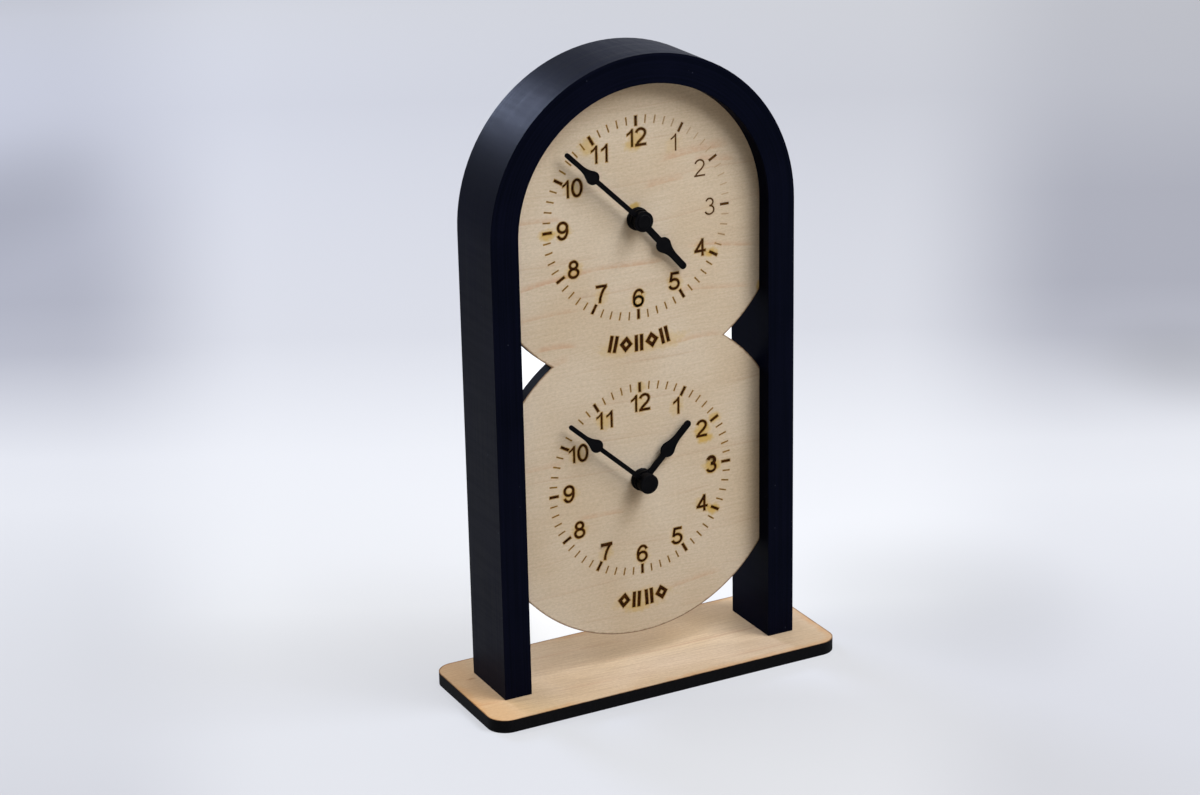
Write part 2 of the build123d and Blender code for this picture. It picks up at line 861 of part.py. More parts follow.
def make_train_bridge(clock):
    shaft, _, _, third, fifth, rotor = train_places(clock)
    posts = bridge_places(clock)
    with BuildPart() as train_bridge:
        with BuildSketch(facing(bridge_back)) as outline:
            with Locations(shaft, rotor, *posts):
                Circle(bridge_margin)
            make_hull(outline.edges())
            with Locations(shaft):
                Circle(seconds_arbor_radius + running_gap, mode=Mode.SUBTRACT)
            with Locations(third, fifth, rotor):
                Circle(arbor_radius + running_gap, mode=Mode.SUBTRACT)
            with Locations(*posts):
                Circle(peg_radius + running_gap, mode=Mode.SUBTRACT)
        extrude(amount=bridge_thickness)
    save(train_bridge, clock.name + "_train_bridge")


def room_outline(clock, depth, inset):
    """Inside of the gear room above the battery bay, drawn in by an inset."""
    width = 2 * (inner_half - inset)
    height = inner_half - room_bottom - 2 * inset
    place = (0, clock.height + (inner_half + room_bottom) / 2)
    with BuildSketch(facing(depth, place)) as outline:
        Rectangle(width, height)
    return outline.sketch


def case_outline(clock, depth, bottom):
    """Outside of the case with round corners, above a height."""
    with BuildSketch(facing(depth, (0, clock.height))) as outline:
        RectangleRounded(case_size, case_size, case_corner_radius)
        height = case_size / 2 - bottom
        with Locations((0, bottom + height / 2)):
            Rectangle(case_size, height, mode=Mode.INTERSECT)
    return outline.sketch


def make_movement_case(clock):
    shaft, minute, setting, third, fifth, rotor = train_places(clock)
    limb_height = clock.height + coil_height
    with BuildPart() as movement_case:
        extrude(case_outline(clock, case_back, -case_size / 2), amount=case_depth)
        lid_seat = case_outline(clock, case_back, bay_top)
        extrude(lid_seat, amount=cover_thickness, mode=Mode.SUBTRACT)
        room = room_outline(clock, cover_front, 0)
        extrude(room, amount=cover_front - case_floor, mode=Mode.SUBTRACT)
        with BuildSketch(facing(case_back, (0, clock.height + battery_height))):
            Rectangle(2 * inner_half, bay_height)
        extrude(amount=case_back - case_floor, mode=Mode.SUBTRACT)
        for place in (third, fifth, rotor):
            extrude(disc(boss_back, place, boss_radius), amount=boss_back - case_floor)
            hole = disc(boss_back, place, arbor_radius + running_gap)
            extrude(hole, amount=boss_back - case_floor, mode=Mode.SUBTRACT)
        stem_boss_back = minute_wheel_front - pinion_overhang - free_gap
        extrude(disc(stem_boss_back, setting, stem_boss_radius), amount=stem_boss_back - case_floor)
        hole = disc(stem_boss_back, setting, stem_radius + running_gap)
        extrude(hole, amount=stem_boss_back - case_floor, mode=Mode.SUBTRACT)
        extrude(disc(cannon_back, minute, post_radius), amount=cannon_back - case_floor)
        for place in bridge_places(clock):
            post = square(bridge_front, place, bridge_post_width)
            extrude(post, amount=bridge_front - case_floor)
            extrude(disc(arbor_back, place, peg_radius), amount=arbor_back - bridge_front)
        for limb in stator_parts(clock)[1]:
            post = square(stator_front, (limb, limb_height), limb_post_width)
            extrude(post, amount=stator_front - case_floor)
        board = board_middle(clock)
        for end in (-1, 1):
            place = (board[0], board[1] + end * (board_height / 2 - board_post_inset))
            post_back = case_floor + board_post_height
            extrude(square(post_back, place, board_post_width), amount=board_post_height)
        hole = disc(case_floor, shaft, bush_radius + fit_gap)
        extrude(hole, amount=case_wall, mode=Mode.SUBTRACT)
    save(movement_case, clock.name + "_movement_case")


def make_back_cover(clock):
    setting = train_places(clock)[2]
    with BuildPart() as back_cover:
        extrude(case_outline(clock, case_back, bay_top + cover_gap), amount=cover_thickness)
        extrude(room_outline(clock, cover_front, cover_gap), amount=cover_lip_depth)
        inside = room_outline(clock, cover_front, cover_gap + cover_lip_wall)
        extrude(inside, amount=cover_lip_depth, mode=Mode.SUBTRACT)
        hole = disc(case_back, setting, stem_radius + running_gap)
        extrude(hole, amount=cover_thickness, mode=Mode.SUBTRACT)
    save(back_cover, clock.name + "_back_cover")


def make_battery(clock):
    height = clock.height + battery_height
    with BuildPart() as battery:
        along = Plane(
            origin=(battery_left, battery_depth, height), x_dir=(0, 1, 0), z_dir=(1, 0, 0)
        )
        with BuildSketch(along):
            Circle(battery_radius)
        extrude(amount=battery_length)
        with BuildSketch(along.offset(battery_length)):
            Circle(battery_tip_radius)
        extrude(amount=battery_tip_length)
    save(battery, clock.name + "_battery")

    with BuildPart() as battery_contacts:
        bottom = height - contact_width / 2
        across = Plane.XY.offset(bottom)
        front = battery_depth - battery_radius + contact_spring_end
        back = battery_depth + battery_radius - contact_spring_end
        wall = -inner_half
        leaf = battery_left - fit_gap
        points = [
            (wall, front),
            (wall + contact_thickness, front),
            (wall + contact_thickness, back - contact_thickness),
            (leaf - contact_thickness, battery_depth + contact_thickness),
            (leaf - contact_thickness, battery_depth - contact_thickness),
            (leaf, battery_depth - contact_thickness),
            (leaf, battery_depth + contact_thickness),
            (wall + contact_thickness, back),
            (wall, back),
        ]
        with BuildSketch(across):
            with BuildLine():
                Polyline(*points, close=True)
            make_face()
        extrude(amount=contact_width)
        with BuildSketch(across):
            with Locations((inner_half - contact_thickness / 2, battery_depth)):
                Rectangle(contact_thickness, back - front)
        extrude(amount=contact_width)
    save(battery_contacts, clock.name + "_battery_contacts")


os.makedirs("parts", exist_ok=True)
make_base_plate()
make_base_screws()
make_arch_frame()
make_dial_plate()
for clock in clocks:
    make_hands(clock)
    make_hand_cap(clock)
    make_centre_fixing(clock)
    make_motion_work(clock)
    make_time_train(clock)
    make_motor(clock)
    make_circuit_board(clock)
    make_train_bridge(clock)
    make_movement_case(clock)
    make_back_cover(clock)
    make_battery(clock)
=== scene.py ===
import json
import math

import bmesh
import bpy
from mathutils import Matrix, Vector


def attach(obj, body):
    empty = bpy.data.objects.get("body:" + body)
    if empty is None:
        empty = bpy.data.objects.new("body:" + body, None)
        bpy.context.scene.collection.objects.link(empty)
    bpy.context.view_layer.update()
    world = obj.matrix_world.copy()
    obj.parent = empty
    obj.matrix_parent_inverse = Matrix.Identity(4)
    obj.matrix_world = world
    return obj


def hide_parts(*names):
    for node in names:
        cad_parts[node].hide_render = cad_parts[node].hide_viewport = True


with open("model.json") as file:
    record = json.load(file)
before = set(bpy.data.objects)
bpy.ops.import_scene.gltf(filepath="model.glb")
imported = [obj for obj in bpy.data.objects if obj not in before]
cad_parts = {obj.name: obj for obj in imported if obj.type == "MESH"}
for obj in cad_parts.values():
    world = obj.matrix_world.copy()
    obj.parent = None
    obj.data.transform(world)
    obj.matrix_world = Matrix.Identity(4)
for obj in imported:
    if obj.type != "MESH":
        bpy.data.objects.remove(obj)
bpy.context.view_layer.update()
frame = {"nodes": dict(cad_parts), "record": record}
nodes = frame["nodes"]
record_bodies = frame["record"]["behaviour"]["bodies"]
body_of_node = {node: body for body, held in record_bodies.items() for node in held}

MM = 0.001

# Millimetres in the row frame. CLOCKS holds the height of each dial's centre.
CLOCKS = {"lower": 94.9, "upper": 217.2}
DIAL_RADIUS = 75.0
DIAL_FRONT = -6.05
NUMERAL_RADIUS = 36.5

# Camera, in millimetres and degrees in the row frame.
CAMERA_TARGET = (-15.69, 2.34, 134.24)
CAMERA_DISTANCE = 1304.13
CAMERA_AZIMUTH = -27.257
CAMERA_ELEVATION = 20.106
CAMERA_ROLL = -1.172
CAMERA_LENS = 87.64
SENSOR_WIDTH = 36.0
CLIP_RANGE_M = (0.05, 40.0)


def camera_axes():
    """Right, up and backward unit vectors of the photograph's view."""
    azimuth = math.radians(CAMERA_AZIMUTH)
    elevation = math.radians(CAMERA_ELEVATION)
    roll = math.radians(CAMERA_ROLL)
    level = Vector((math.cos(azimuth), math.sin(azimuth), 0))
    back = Vector(
        (
            math.sin(azimuth) * math.cos(elevation),
            -math.cos(azimuth) * math.cos(elevation),
            math.sin(elevation),
        )
    )
    above = back.cross(level)
    right = math.cos(roll) * level + math.sin(roll) * above
    up = math.cos(roll) * above - math.sin(roll) * level
    return right, up, back


def placed(name, data):
    """A new object with this data, linked to the scene."""
    thing = bpy.data.objects.new(name, data)
    bpy.context.scene.collection.objects.link(thing)
    return thing


def make_camera():
    right, up, back = camera_axes()
    data = bpy.data.cameras.new("studio_camera")
    data.sensor_fit = "HORIZONTAL"
    data.sensor_width = SENSOR_WIDTH
    data.lens = CAMERA_LENS
    data.clip_start, data.clip_end = CLIP_RANGE_M
    camera = placed("studio_camera", data)
    place = (Vector(CAMERA_TARGET) + CAMERA_DISTANCE * back) * MM
    turn = Matrix((right, up, back)).transposed().to_4x4()
    camera.matrix_world = Matrix.Translation(place) @ turn
    bpy.context.scene.camera = camera


def linear(red, green, blue):
    """A colour given as sRGB values from 0 to 255, as linear values."""
    out = []
    for value in (red, green, blue):
        share = value / 255
        out.append(
            share / 12.92 if share <= 0.04045 else ((share + 0.055) / 1.055) ** 2.4
        )
    return (*out, 1.0)


class Graph:
    """The shader nodes of a new material, or of another owner such as the world."""

    def __init__(self, name, owner=None):
        self.owner = bpy.data.materials.new(name) if owner is None else owner
        self.owner.use_nodes = True
        self.tree = self.owner.node_tree
        self.tree.nodes.clear()

    def add(self, kind, **settings):
        node = self.tree.nodes.new(kind)
        for key, value in settings.items():
            setattr(node, key, value)
        return node

    def put(self, socket, value):
        if isinstance(value, bpy.types.NodeSocket):
            self.tree.links.new(value, socket)
        else:
            socket.default_value = value

    def math(self, operation, *values):
        node = self.add("ShaderNodeMath", operation=operation)
        for place, value in enumerate(values):
            self.put(node.inputs[place], value)
        return node.outputs[0]

    def place_mm(self):
        """The object's own coordinates, in millimetres."""
        where = self.add("ShaderNodeTexCoord").outputs["Object"]
        node = self.add("ShaderNodeVectorMath", operation="SCALE")
        self.put(node.inputs[0], where)
        self.put(node.inputs["Scale"], 1 / MM)
        return node.outputs[0]

    def facing(self):
        """The object's own normal, as three sockets."""
        return self.parts(self.add("ShaderNodeTexCoord").outputs["Normal"])

    def parts(self, vector):
        node = self.add("ShaderNodeSeparateXYZ")
        self.put(node.inputs[0], vector)
        return node.outputs[0], node.outputs[1], node.outputs[2]

    def vector(self, x, y, z):
        node = self.add("ShaderNodeCombineXYZ")
        for place, value in enumerate((x, y, z)):
            self.put(node.inputs[place], value)
        return node.outputs[0]

    def stretched(self, entries, scales):
        """A vector of three entries, each multiplied by a number of its own."""
        scaled = []
        for entry, scale in zip(entries, scales):
            scaled.append(self.math("MULTIPLY", entry, scale))
        return self.vector(*scaled)

    def noise(self, vector, scale, detail=3.0, rough=0.55):
        node = self.add("ShaderNodeTexNoise")
        self.put(node.inputs["Vector"], vector)
        node.inputs["Scale"].default_value = scale
        node.inputs["Detail"].default_value = detail
        node.inputs["Roughness"].default_value = rough
        return node.outputs["Fac"]

    def cells(self, vector, scale, feature="F1"):
        node = self.add("ShaderNodeTexVoronoi", feature=feature)
        self.put(node.inputs["Vector"], vector)
        node.inputs["Scale"].default_value = scale
        return node.outputs["Distance"]

    def span(self, value, low, high, to_low=0.0, to_high=1.0):
        """value from low..high to to_low..to_high, smoothly and held at the ends."""
        node = self.add("ShaderNodeMapRange", interpolation_type="SMOOTHSTEP")
        for place, entry in enumerate((value, low, high, to_low, to_high)):
            self.put(node.inputs[place], entry)
        return node.outputs[0]

    def mix(self, share, first, second, blend="MIX"):
        node = self.add("ShaderNodeMix", data_type="RGBA", blend_type=blend)
        self.put(node.inputs[0], share)
        self.put(node.inputs[6], first)
        self.put(node.inputs[7], second)
        return node.outputs[2]

    def length(self, x, y):
        squares = self.math(
            "ADD", self.math("MULTIPLY", x, x), self.math("MULTIPLY", y, y)
        )
        return self.math("SQRT", squares)

    def spot(self, x, y, x_at, y_at, half_x, half_y):
        """0 in the middle of an oval, 1 on its edge and more outside it."""
        across = self.math("MULTIPLY_ADD", x, 1 / half_x, -x_at / half_x)
        upward = self.math("MULTIPLY_ADD", y, 1 / half_y, -y_at / half_y)
        return self.length(across, upward)

    def bump(self, height, depth_mm, strength=1.0):
        node = self.add("ShaderNodeBump")
        node.inputs["Strength"].default_value = strength
        node.inputs["Distance"].default_value = depth_mm * MM
        self.put(node.inputs["Height"], height)
        return node.outputs[0]

    def show(self, shader, output="ShaderNodeOutputMaterial"):
        """Ends the graph in a shader and returns what the graph belongs to."""
        out = self.add(output)
        self.tree.links.new(shader.outputs[0], out.inputs["Surface"])
        return self.owner

    def finish(self, colour, roughness, normal, **fixed):
        """Ends the graph in one surface; fixed holds sockets that are even all over."""
        shader = self.add("ShaderNodeBsdfPrincipled")
        self.put(shader.inputs["Base Color"], colour)
        self.put(shader.inputs["Roughness"], roughness)
        self.put(shader.inputs["Normal"], normal)
        for name, value in fixed.items():
            shader.inputs[name.replace("_", " ")].default_value = value
        return self.show(shader)


# Where nearly all values of a noise lie, and where the middle ones lie.
NOISE_MOST = (0.3, 0.7)
NOISE_CORE = (0.35, 0.65)

# Wood

CHAR_DARK = linear(4, 4, 5)
CHAR_LIGHT = linear(11, 10, 13)
RIM_BROWN = linear(104, 70, 38)
SCORCH = linear(186, 148, 30)
# The tan of the laser's tint along the base's outline, also used for the painted shade
# at the base's left end.
TAN_TINT_AND_LEFT_SHADE = linear(176, 124, 66)
GRAIN_PINK = linear(164, 118, 88)
GROWTH_PINK = linear(184, 138, 106)
FLECK = linear(140, 112, 82)
PLATE_PALE = linear(203, 188, 167)
PLATE_WARM = linear(193, 174, 148)
BASE_PALE = linear(192, 168, 139)
BASE_WARM = linear(181, 154, 120)
BORDER_BROWN = linear(158, 116, 26)
KNOT_BROWN = linear(120, 82, 56)
# The brown of the painted shade at the base's right end.
RIGHT_SHADE_BROWN = linear(150, 128, 104)
GRAIN_DEPTH = 0.06

# How strongly the laser browned the wood around each numeral, from 1 to 12.
HALOS = {
    "upper": (0.25, 0.08, 0.08, 0.20, 0.50, 0.62, 0.35, 0.50, 0.60, 0.42, 0.25, 0.70),
    "lower": (0.40, 0.85, 0.95, 0.42, 0.60, 0.56, 0.40, 0.58, 0.60, 0.45, 0.60, 0.45),
}
# Each halo's half width and half height, and how far below its numeral it lies.
HALO_HALF = (3.9, 4.8)
HALO_DROP = 0.6
HALO_FADE = (0.42, 1.24)
HALO_WOBBLE = 1.1
# The hours that a dial's ramp of halos runs over, from 6 by way of 12 to 6 again.
HALO_HOURS = range(-6, 7)
HOURS_PER_RADIAN = 6 / math.pi
SPOT_FADE = (0.42, 1.22)
SCORCH_STRENGTH = 0.68

# More scorched places: clock, x and z from the dial's centre, half width and half
# height, strength.
SCORCHED = (
    ("upper", -1.5, 33.2, 4.8, 2.8, 0.75),
    ("upper", -23.5, 35.4, 5.0, 4.6, 0.65),
    ("upper", -44.0, -0.9, 5.0, 2.8, 0.95),
    ("upper", 36.8, -21.2, 3.6, 2.3, 0.95),
    ("upper", -1.3, 5.8, 3.2, 1.9, 1.00),
    ("upper", 10.0, -58.5, 16.0, 4.4, 0.40),
    ("upper", -8.0, -58.0, 13.0, 4.8, 0.35),
    ("lower", 33.0, 13.4, 4.6, 2.8, 1.00),
    ("lower", 38.0, 22.4, 3.8, 2.8, 0.75),
    ("lower", 36.7, -22.0, 4.2, 2.8, 1.00),
    ("lower", 0.5, 43.8, 3.2, 3.0, 0.55),
    ("lower", -2.5, -62.0, 8.5, 3.0, 0.60),
    ("lower", 0.0, -58.6, 16.0, 5.2, 0.42),
    ("upper", 61.6, -41.0, 1.5, 3.0, 0.80),
)

# Growth lines on the plate's front: x and z of both ends, half width, strength.
GROWTH_LINES = (
    (3.1, 230.5, 24.0, 231.3, 1.5, 0.50),
    (10.7, 240.7, 47.0, 244.7, 2.0, 0.60),
    (28.0, 239.4, 50.0, 237.5, 1.4, 0.50),
    (22.2, 199.2, 61.0, 196.1, 1.1, 0.55),
    (-62.0, 194.0, -18.0, 196.4, 1.2, 0.75),
    (-24.0, 196.4, 14.0, 196.2, 1.2, 0.65),
    (-62.0, 223.0, -36.0, 221.5, 1.1, 0.50),
    (16.0, 179.9, 60.0, 176.7, 1.1, 0.40),
    (-52.0, 164.4, -30.0, 163.0, 1.2, 0.60),
    (12.0, 157.1, 44.0, 156.0, 1.2, 0.45),
    (-33.0, 82.6, -8.0, 80.3, 1.1, 0.50),
    (-62.0, 179.8, -28.0, 179.3, 1.2, 0.40),
    (12.0, 38.3, 42.0, 41.5, 1.3, 0.45),
    (-58.0, 154.0, -34.0, 158.0, 1.6, 0.35),
    (-60.0, 108.0, -38.0, 110.0, 1.3, 0.35),
)
GROWTH_BEND = 8.0
GROWTH_STRENGTH = 0.75
# A growth line's sharp and soft side in half widths, and where along it its ends fade.
GROWTH_SHARP = 0.5
GROWTH_SOFT = 2.6
GROWTH_ENDS = (0.3, 0.52)

# Rings in the wood: how far apart they are and how far they bend, and the shares of
# their distance that the dark line and the soft band beside it take.
RING_PITCH = 17.0
RING_BEND = 22.0
RING_LINE = 0.035
RING_BAND = 0.22
FIBRES_IN_TONE = 0.28
FLECK_STRENGTH = 0.22
# How each noise in the wood is scaled along and across the grain. The two slices are
# depths of their own, so that the noises taken there have nothing in common.
BEND_SCALES = (0.35, 1, 1)
SHOWN_SCALES = (0.3, 1, 1)
FIBRE_SCALES = (0.05, 1.4, 1)
DASH_SCALES = (1.3, 2.2, 1)
MOTTLE_SCALES = (0.6, 1, 1)
BEND_SLICE = 11.0
SHOWN_SLICE = 41.0
# The cut edge's brown rim: how ragged it is, and how far outside the outline it begins.
RIM_RAGGED = 0.9
RIM_START = -0.3


def wood_colour(g, along, across, deep, pale, warm, lines, streaky):
    """Plywood face: slow patches, fine fibres, a few curved growth lines and flecks.

    lines is how strong the growth lines are, streaky how much the fibres vary.
    """
    slow = g.noise(g.vector(along, across, deep), 0.018, 2.0)
    bend = g.noise(g.stretched((along, across, BEND_SLICE), BEND_SCALES), 0.022, 1.0)
    shifted = g.math("MULTIPLY_ADD", bend, RING_BEND, across)
    threads = g.stretched((along, shifted, deep), FIBRE_SCALES)
    fibres = g.noise(threads, 1.0, 4.0, 0.6)
    tone = g.math("ADD", slow, g.math("MULTIPLY", fibres, FIBRES_IN_TONE))
    colour = g.mix(g.span(tone, 0.40, 0.86), warm, pale)
    rings = g.math("FRACT", g.math("MULTIPLY", shifted, 1 / RING_PITCH))
    past = g.math("SUBTRACT", rings, 0.5)
    line = g.span(g.math("ABSOLUTE", past), 0.0, RING_LINE, 1.0, 0.0)
    band = g.span(past, 0.0, RING_BAND, 1.0, 0.0)
    band = g.math("MULTIPLY", band, g.math("GREATER_THAN", rings, 0.5))
    here = g.noise(g.stretched((along, across, SHOWN_SLICE), SHOWN_SCALES), 0.06, 2.0)
    shown = g.span(here, 0.42, 0.62)
    for ring_share, strength in ((line, lines), (band, lines * 0.5)):
        drawn = g.math("MULTIPLY", ring_share, g.math("MULTIPLY", shown, strength))
        colour = g.mix(drawn, colour, GRAIN_PINK)
    dash = g.noise(g.stretched((along, across, deep), DASH_SCALES), 1.0, rough=0.7)
    colour = g.mix(g.span(dash, 0.50, 0.72, 0.0, FLECK_STRENGTH), colour, FLECK)
    mottle = g.noise(g.stretched((along, across, deep), MOTTLE_SCALES), 1.0, rough=0.6)
    uneven = g.span(mottle, *NOISE_MOST, 0.93, 1.05)
    streak = g.span(fibres, *NOISE_MOST, 1.0 - streaky, 1.0 + 0.4 * streaky)
    uneven = g.math("MULTIPLY", uneven, streak)
    return g.mix(1.0, colour, uneven, "MULTIPLY"), fibres


def side_share(g, axis):
    """1 on faces that look away from an axis, such as cut edges and walls."""
    turned = g.math("ABSOLUTE", g.facing()[axis])
    return g.span(turned, 0.4, 0.6, 1.0, 0.0)


def brown_rim(g, colour, inside, ragged, reach, strength):
    """Browns the wood up to reach inside the cut edge."""
    rim = g.math("SUBTRACT", inside, g.math("MULTIPLY", ragged, RIM_RAGGED))
    return g.mix(g.span(rim, RIM_START, reach, strength, 0.0), colour, RIM_BROWN)


def finish_wood(g, place, colour, fibres, axis, smooth, charred, gloss):
    """Ends a plywood material whose cut edges, around an axis, are burnt black.

    smooth is the faces' range of roughness, charred the roughness of the edges.
    """
    side = side_share(g, axis)
    pits = g.noise(place, 0.9)
    burnt = g.mix(g.span(pits, 0.45, 0.75), CHAR_DARK, CHAR_LIGHT)
    colour = g.mix(side, colour, burnt)
    rough = g.span(fibres, *NOISE_MOST, *smooth)
    rough = g.math("MAXIMUM", rough, g.math("MULTIPLY", side, charred))
    height = g.math("ADD", fibres, g.math("MULTIPLY", pits, side))
    normal = g.bump(height, GRAIN_DEPTH)
    return g.finish(colour, rough, normal, Specular_IOR_Level=gloss)


def numeral_share(g, x, z, wobble):
    """Browning around the numerals of the dial that a point lies on."""
    is_upper = g.math("GREATER_THAN", z, sum(CLOCKS.values()) / 2)
    apart = CLOCKS["upper"] - CLOCKS["lower"]
    middle = g.math("MULTIPLY_ADD", is_upper, apart, CLOCKS["lower"])
    upward = g.math("ADD", g.math("SUBTRACT", z, middle), HALO_DROP)
    hours = g.math("MULTIPLY", g.math("ARCTAN2", x, upward), HOURS_PER_RADIAN)
    nearest = g.math("ROUND", hours)
    step = NUMERAL_RADIUS / HOURS_PER_RADIAN
    aside = g.math("MULTIPLY", g.math("SUBTRACT", hours, nearest), step / HALO_HALF[0])
    outward = g.math("SUBTRACT", g.length(x, upward), NUMERAL_RADIUS)
    outward = g.math("MULTIPLY", outward, 1 / HALO_HALF[1])
    reach = g.math("ADD", g.length(aside, outward), wobble)
    ramp = g.add("ShaderNodeValToRGB")
    ramp.color_ramp.interpolation = "CONSTANT"
    entries = ramp.color_ramp.elements
    around = []
    for clock in ("lower", "upper"):
        for hour in HALO_HOURS:
            around.append(HALOS[clock][hour - 1])
    while len(entries) < len(around):
        entries.new(0.5)
    for place, (entry, strength) in enumerate(zip(entries, around)):
        entry.position = place / len(around)
        entry.color = (strength, strength, strength, 1.0)
    along = g.math("ADD", nearest, 0.5 - HALO_HOURS[0])
    cell = g.math("MULTIPLY_ADD", is_upper, len(HALO_HOURS), along)
    g.put(ramp.inputs[0], g.math("MULTIPLY", cell, 1 / len(around)))
    return g.math("MULTIPLY", g.span(reach, *HALO_FADE, 1.0, 0.0), ramp.outputs[0])


def scorch_share(g, x, z, place):
    """How strongly the front is browned around the burnt marks."""
    uneven = g.noise(place, 0.45, 2.0)
    wobble = g.math("MULTIPLY_ADD", uneven, HALO_WOBBLE, -HALO_WOBBLE / 2)
    share = numeral_share(g, x, z, wobble)
    for clock, x_at, z_at, half_width, half_height, strength in SCORCHED:
        z_middle = CLOCKS[clock] + z_at
        out = g.spot(x, z, x_at, z_middle, half_width, half_height)
        spot = g.span(g.math("ADD", out, wobble), *SPOT_FADE, strength, 0.0)
        share = g.math("MAXIMUM", share, spot)
    return share


def growth_share(g, x, z, place):
    """Bent lines of late wood on the plate's front, fading towards their ends."""
    bend = g.noise(place, 0.022, 1.0)
    shift = g.math("MULTIPLY_ADD", bend, GROWTH_BEND, -GROWTH_BEND / 2)
    wavy = g.math("ADD", z, shift)
    ragged = g.noise(place, 0.35, 2.0)
    share = 0.0
    for x_from, z_from, x_to, z_to, half_width, strength in GROWTH_LINES:
        run = x_to - x_from
        along = g.math("MULTIPLY_ADD", x, 1 / run, -x_from / run)
        level = g.math("MULTIPLY_ADD", along, z_to - z_from, z_from)
        off = g.math("SUBTRACT", wavy, level)
        sharp = g.span(off, -GROWTH_SHARP * half_width, 0.1, 0.0, strength)
        soft = g.span(off, 0.0, GROWTH_SOFT * half_width, 1.0, 0.0)
        ends = g.math("ABSOLUTE", g.math("SUBTRACT", along, 0.5))
        line = g.math("MULTIPLY", sharp, soft)
        line = g.math("MULTIPLY", line, g.span(ends, *GROWTH_ENDS, 1.0, 0.0))
        share = g.math("MAXIMUM", share, line)
    return g.math("MULTIPLY", share, g.span(ragged, 0.25, 0.6, 0.4, 1.0))


def tilted(g, x, z, degrees):
    """x and z turned by a few degrees, so the grain isn't level."""
    cosine = math.cos(math.radians(degrees))
    sine = math.sin(math.radians(degrees))
    along = g.math("MULTIPLY_ADD", x, cosine, g.math("MULTIPLY", z, sine))
    across = g.math("MULTIPLY_ADD", z, cosine, g.math("MULTIPLY", x, -sine))
    return along, across


# How deep the front's growth lines and scorch go: none at the first depth, all at the
# second.
FRONT_SKIN = (0.4, 0.2)


def plate_colour(g, place):
    """The plate's wood with its growth lines and scorched places."""
    x, y, z = g.parts(place)
    colour, fibres = wood_colour(
        g, x, z, y, PLATE_PALE, PLATE_WARM, lines=0.16, streaky=0.03
    )
    front = g.span(y, DIAL_FRONT + FRONT_SKIN[0], DIAL_FRONT + FRONT_SKIN[1])
    lines = g.math("MULTIPLY", growth_share(g, x, z, place), front)
    colour = g.mix(g.math("MULTIPLY", lines, GROWTH_STRENGTH), colour, GROWTH_PINK)
    scorch = g.math("MULTIPLY", scorch_share(g, x, z, place), front)
    return g.mix(g.math("MULTIPLY", scorch, SCORCH_STRENGTH), colour, SCORCH), fibres


def dial_wood():
    """The plate's wood, browned along its outline and burnt black on its cut edge."""
    g = Graph("dial_wood")
    place = g.place_mm()
    x, _, z = g.parts(place)
    colour, fibres = plate_colour(g, place)
    edges = []
    for middle in CLOCKS.values():
        edges.append(g.length(x, g.math("SUBTRACT", z, middle)))
    inside = g.math("SUBTRACT", DIAL_RADIUS, g.math("MINIMUM", *edges))
    ragged = g.noise(place, 0.5, 2.0)
    colour = brown_rim(g, colour, inside, ragged, reach=0.5, strength=0.8)
    return finish_wood(
        g, place, colour, fibres, axis=1, smooth=(0.55, 0.66), charred=0.8, gloss=0.1
    )


# Around this x and z the laser burnt least. It burnt fully beyond the second reach.
PALE_MIDDLE = (46.0, 242.0)
PALE_REACH = (16.0, 60.0)
PALE_LEAST = 0.55


def burn_share(g, place):
    """1 where the laser burnt fully, less towards the upper right of the upper dial."""
    x, _, z = g.parts(place)
    across = g.math("SUBTRACT", x, PALE_MIDDLE[0])
    upward = g.math("SUBTRACT", z, PALE_MIDDLE[1])
    return g.span(g.length(across, upward), *PALE_REACH, PALE_LEAST, 1.0)


def browned_wood():
    """The narrow browned border that the laser leaves beside a mark."""
    g = Graph("browned_wood")
    place = g.place_mm()
    colour, fibres = plate_colour(g, place)
    uneven = g.span(g.noise(place, 0.7), *NOISE_MOST, 0.5, 0.9)
    burnt = g.span(burn_share(g, place), PALE_LEAST, 1.0, 0.1, 1.0)
    colour = g.mix(g.math("MULTIPLY", uneven, burnt), colour, BORDER_BROWN)
    normal = g.bump(fibres, GRAIN_DEPTH)
    return g.finish(colour, 0.62, normal, Specular_IOR_Level=0.1)


BASE_HALF = (89.0, 33.75)
BASE_CORNER = 9.0
BASE_GRAIN_TURN = -2.0
# The knot's middle and half sizes, and the x range over which the painted shade at each
# end comes in.
KNOT = (-78.9, 13.5, 2.6, 1.3)
PAINTED_SHADE_LEFT = (-82.0, -66.0)
PAINTED_SHADE_RIGHT = (20.0, 70.0)
# The tan tint along the base's outline: its reach, and how ragged it is.
EDGE_TINT = (-2.4, 2.2)
EDGE_TINT_RAGGED = 5.0


def inside_base(g, x, y):
    """How far a point lies inside the base's rounded outline."""
    over = []
    for value, half in zip((x, y), BASE_HALF):
        inner = half - BASE_CORNER
        over.append(g.math("SUBTRACT", g.math("ABSOLUTE", value), inner))
    corner = g.length(
        g.math("MAXIMUM", over[0], 0.0), g.math("MAXIMUM", over[1], 0.0)
    )
    flat = g.math("MINIMUM", g.math("MAXIMUM", *over), 0.0)
    return g.math("SUBTRACT", BASE_CORNER, g.math("ADD", corner, flat))


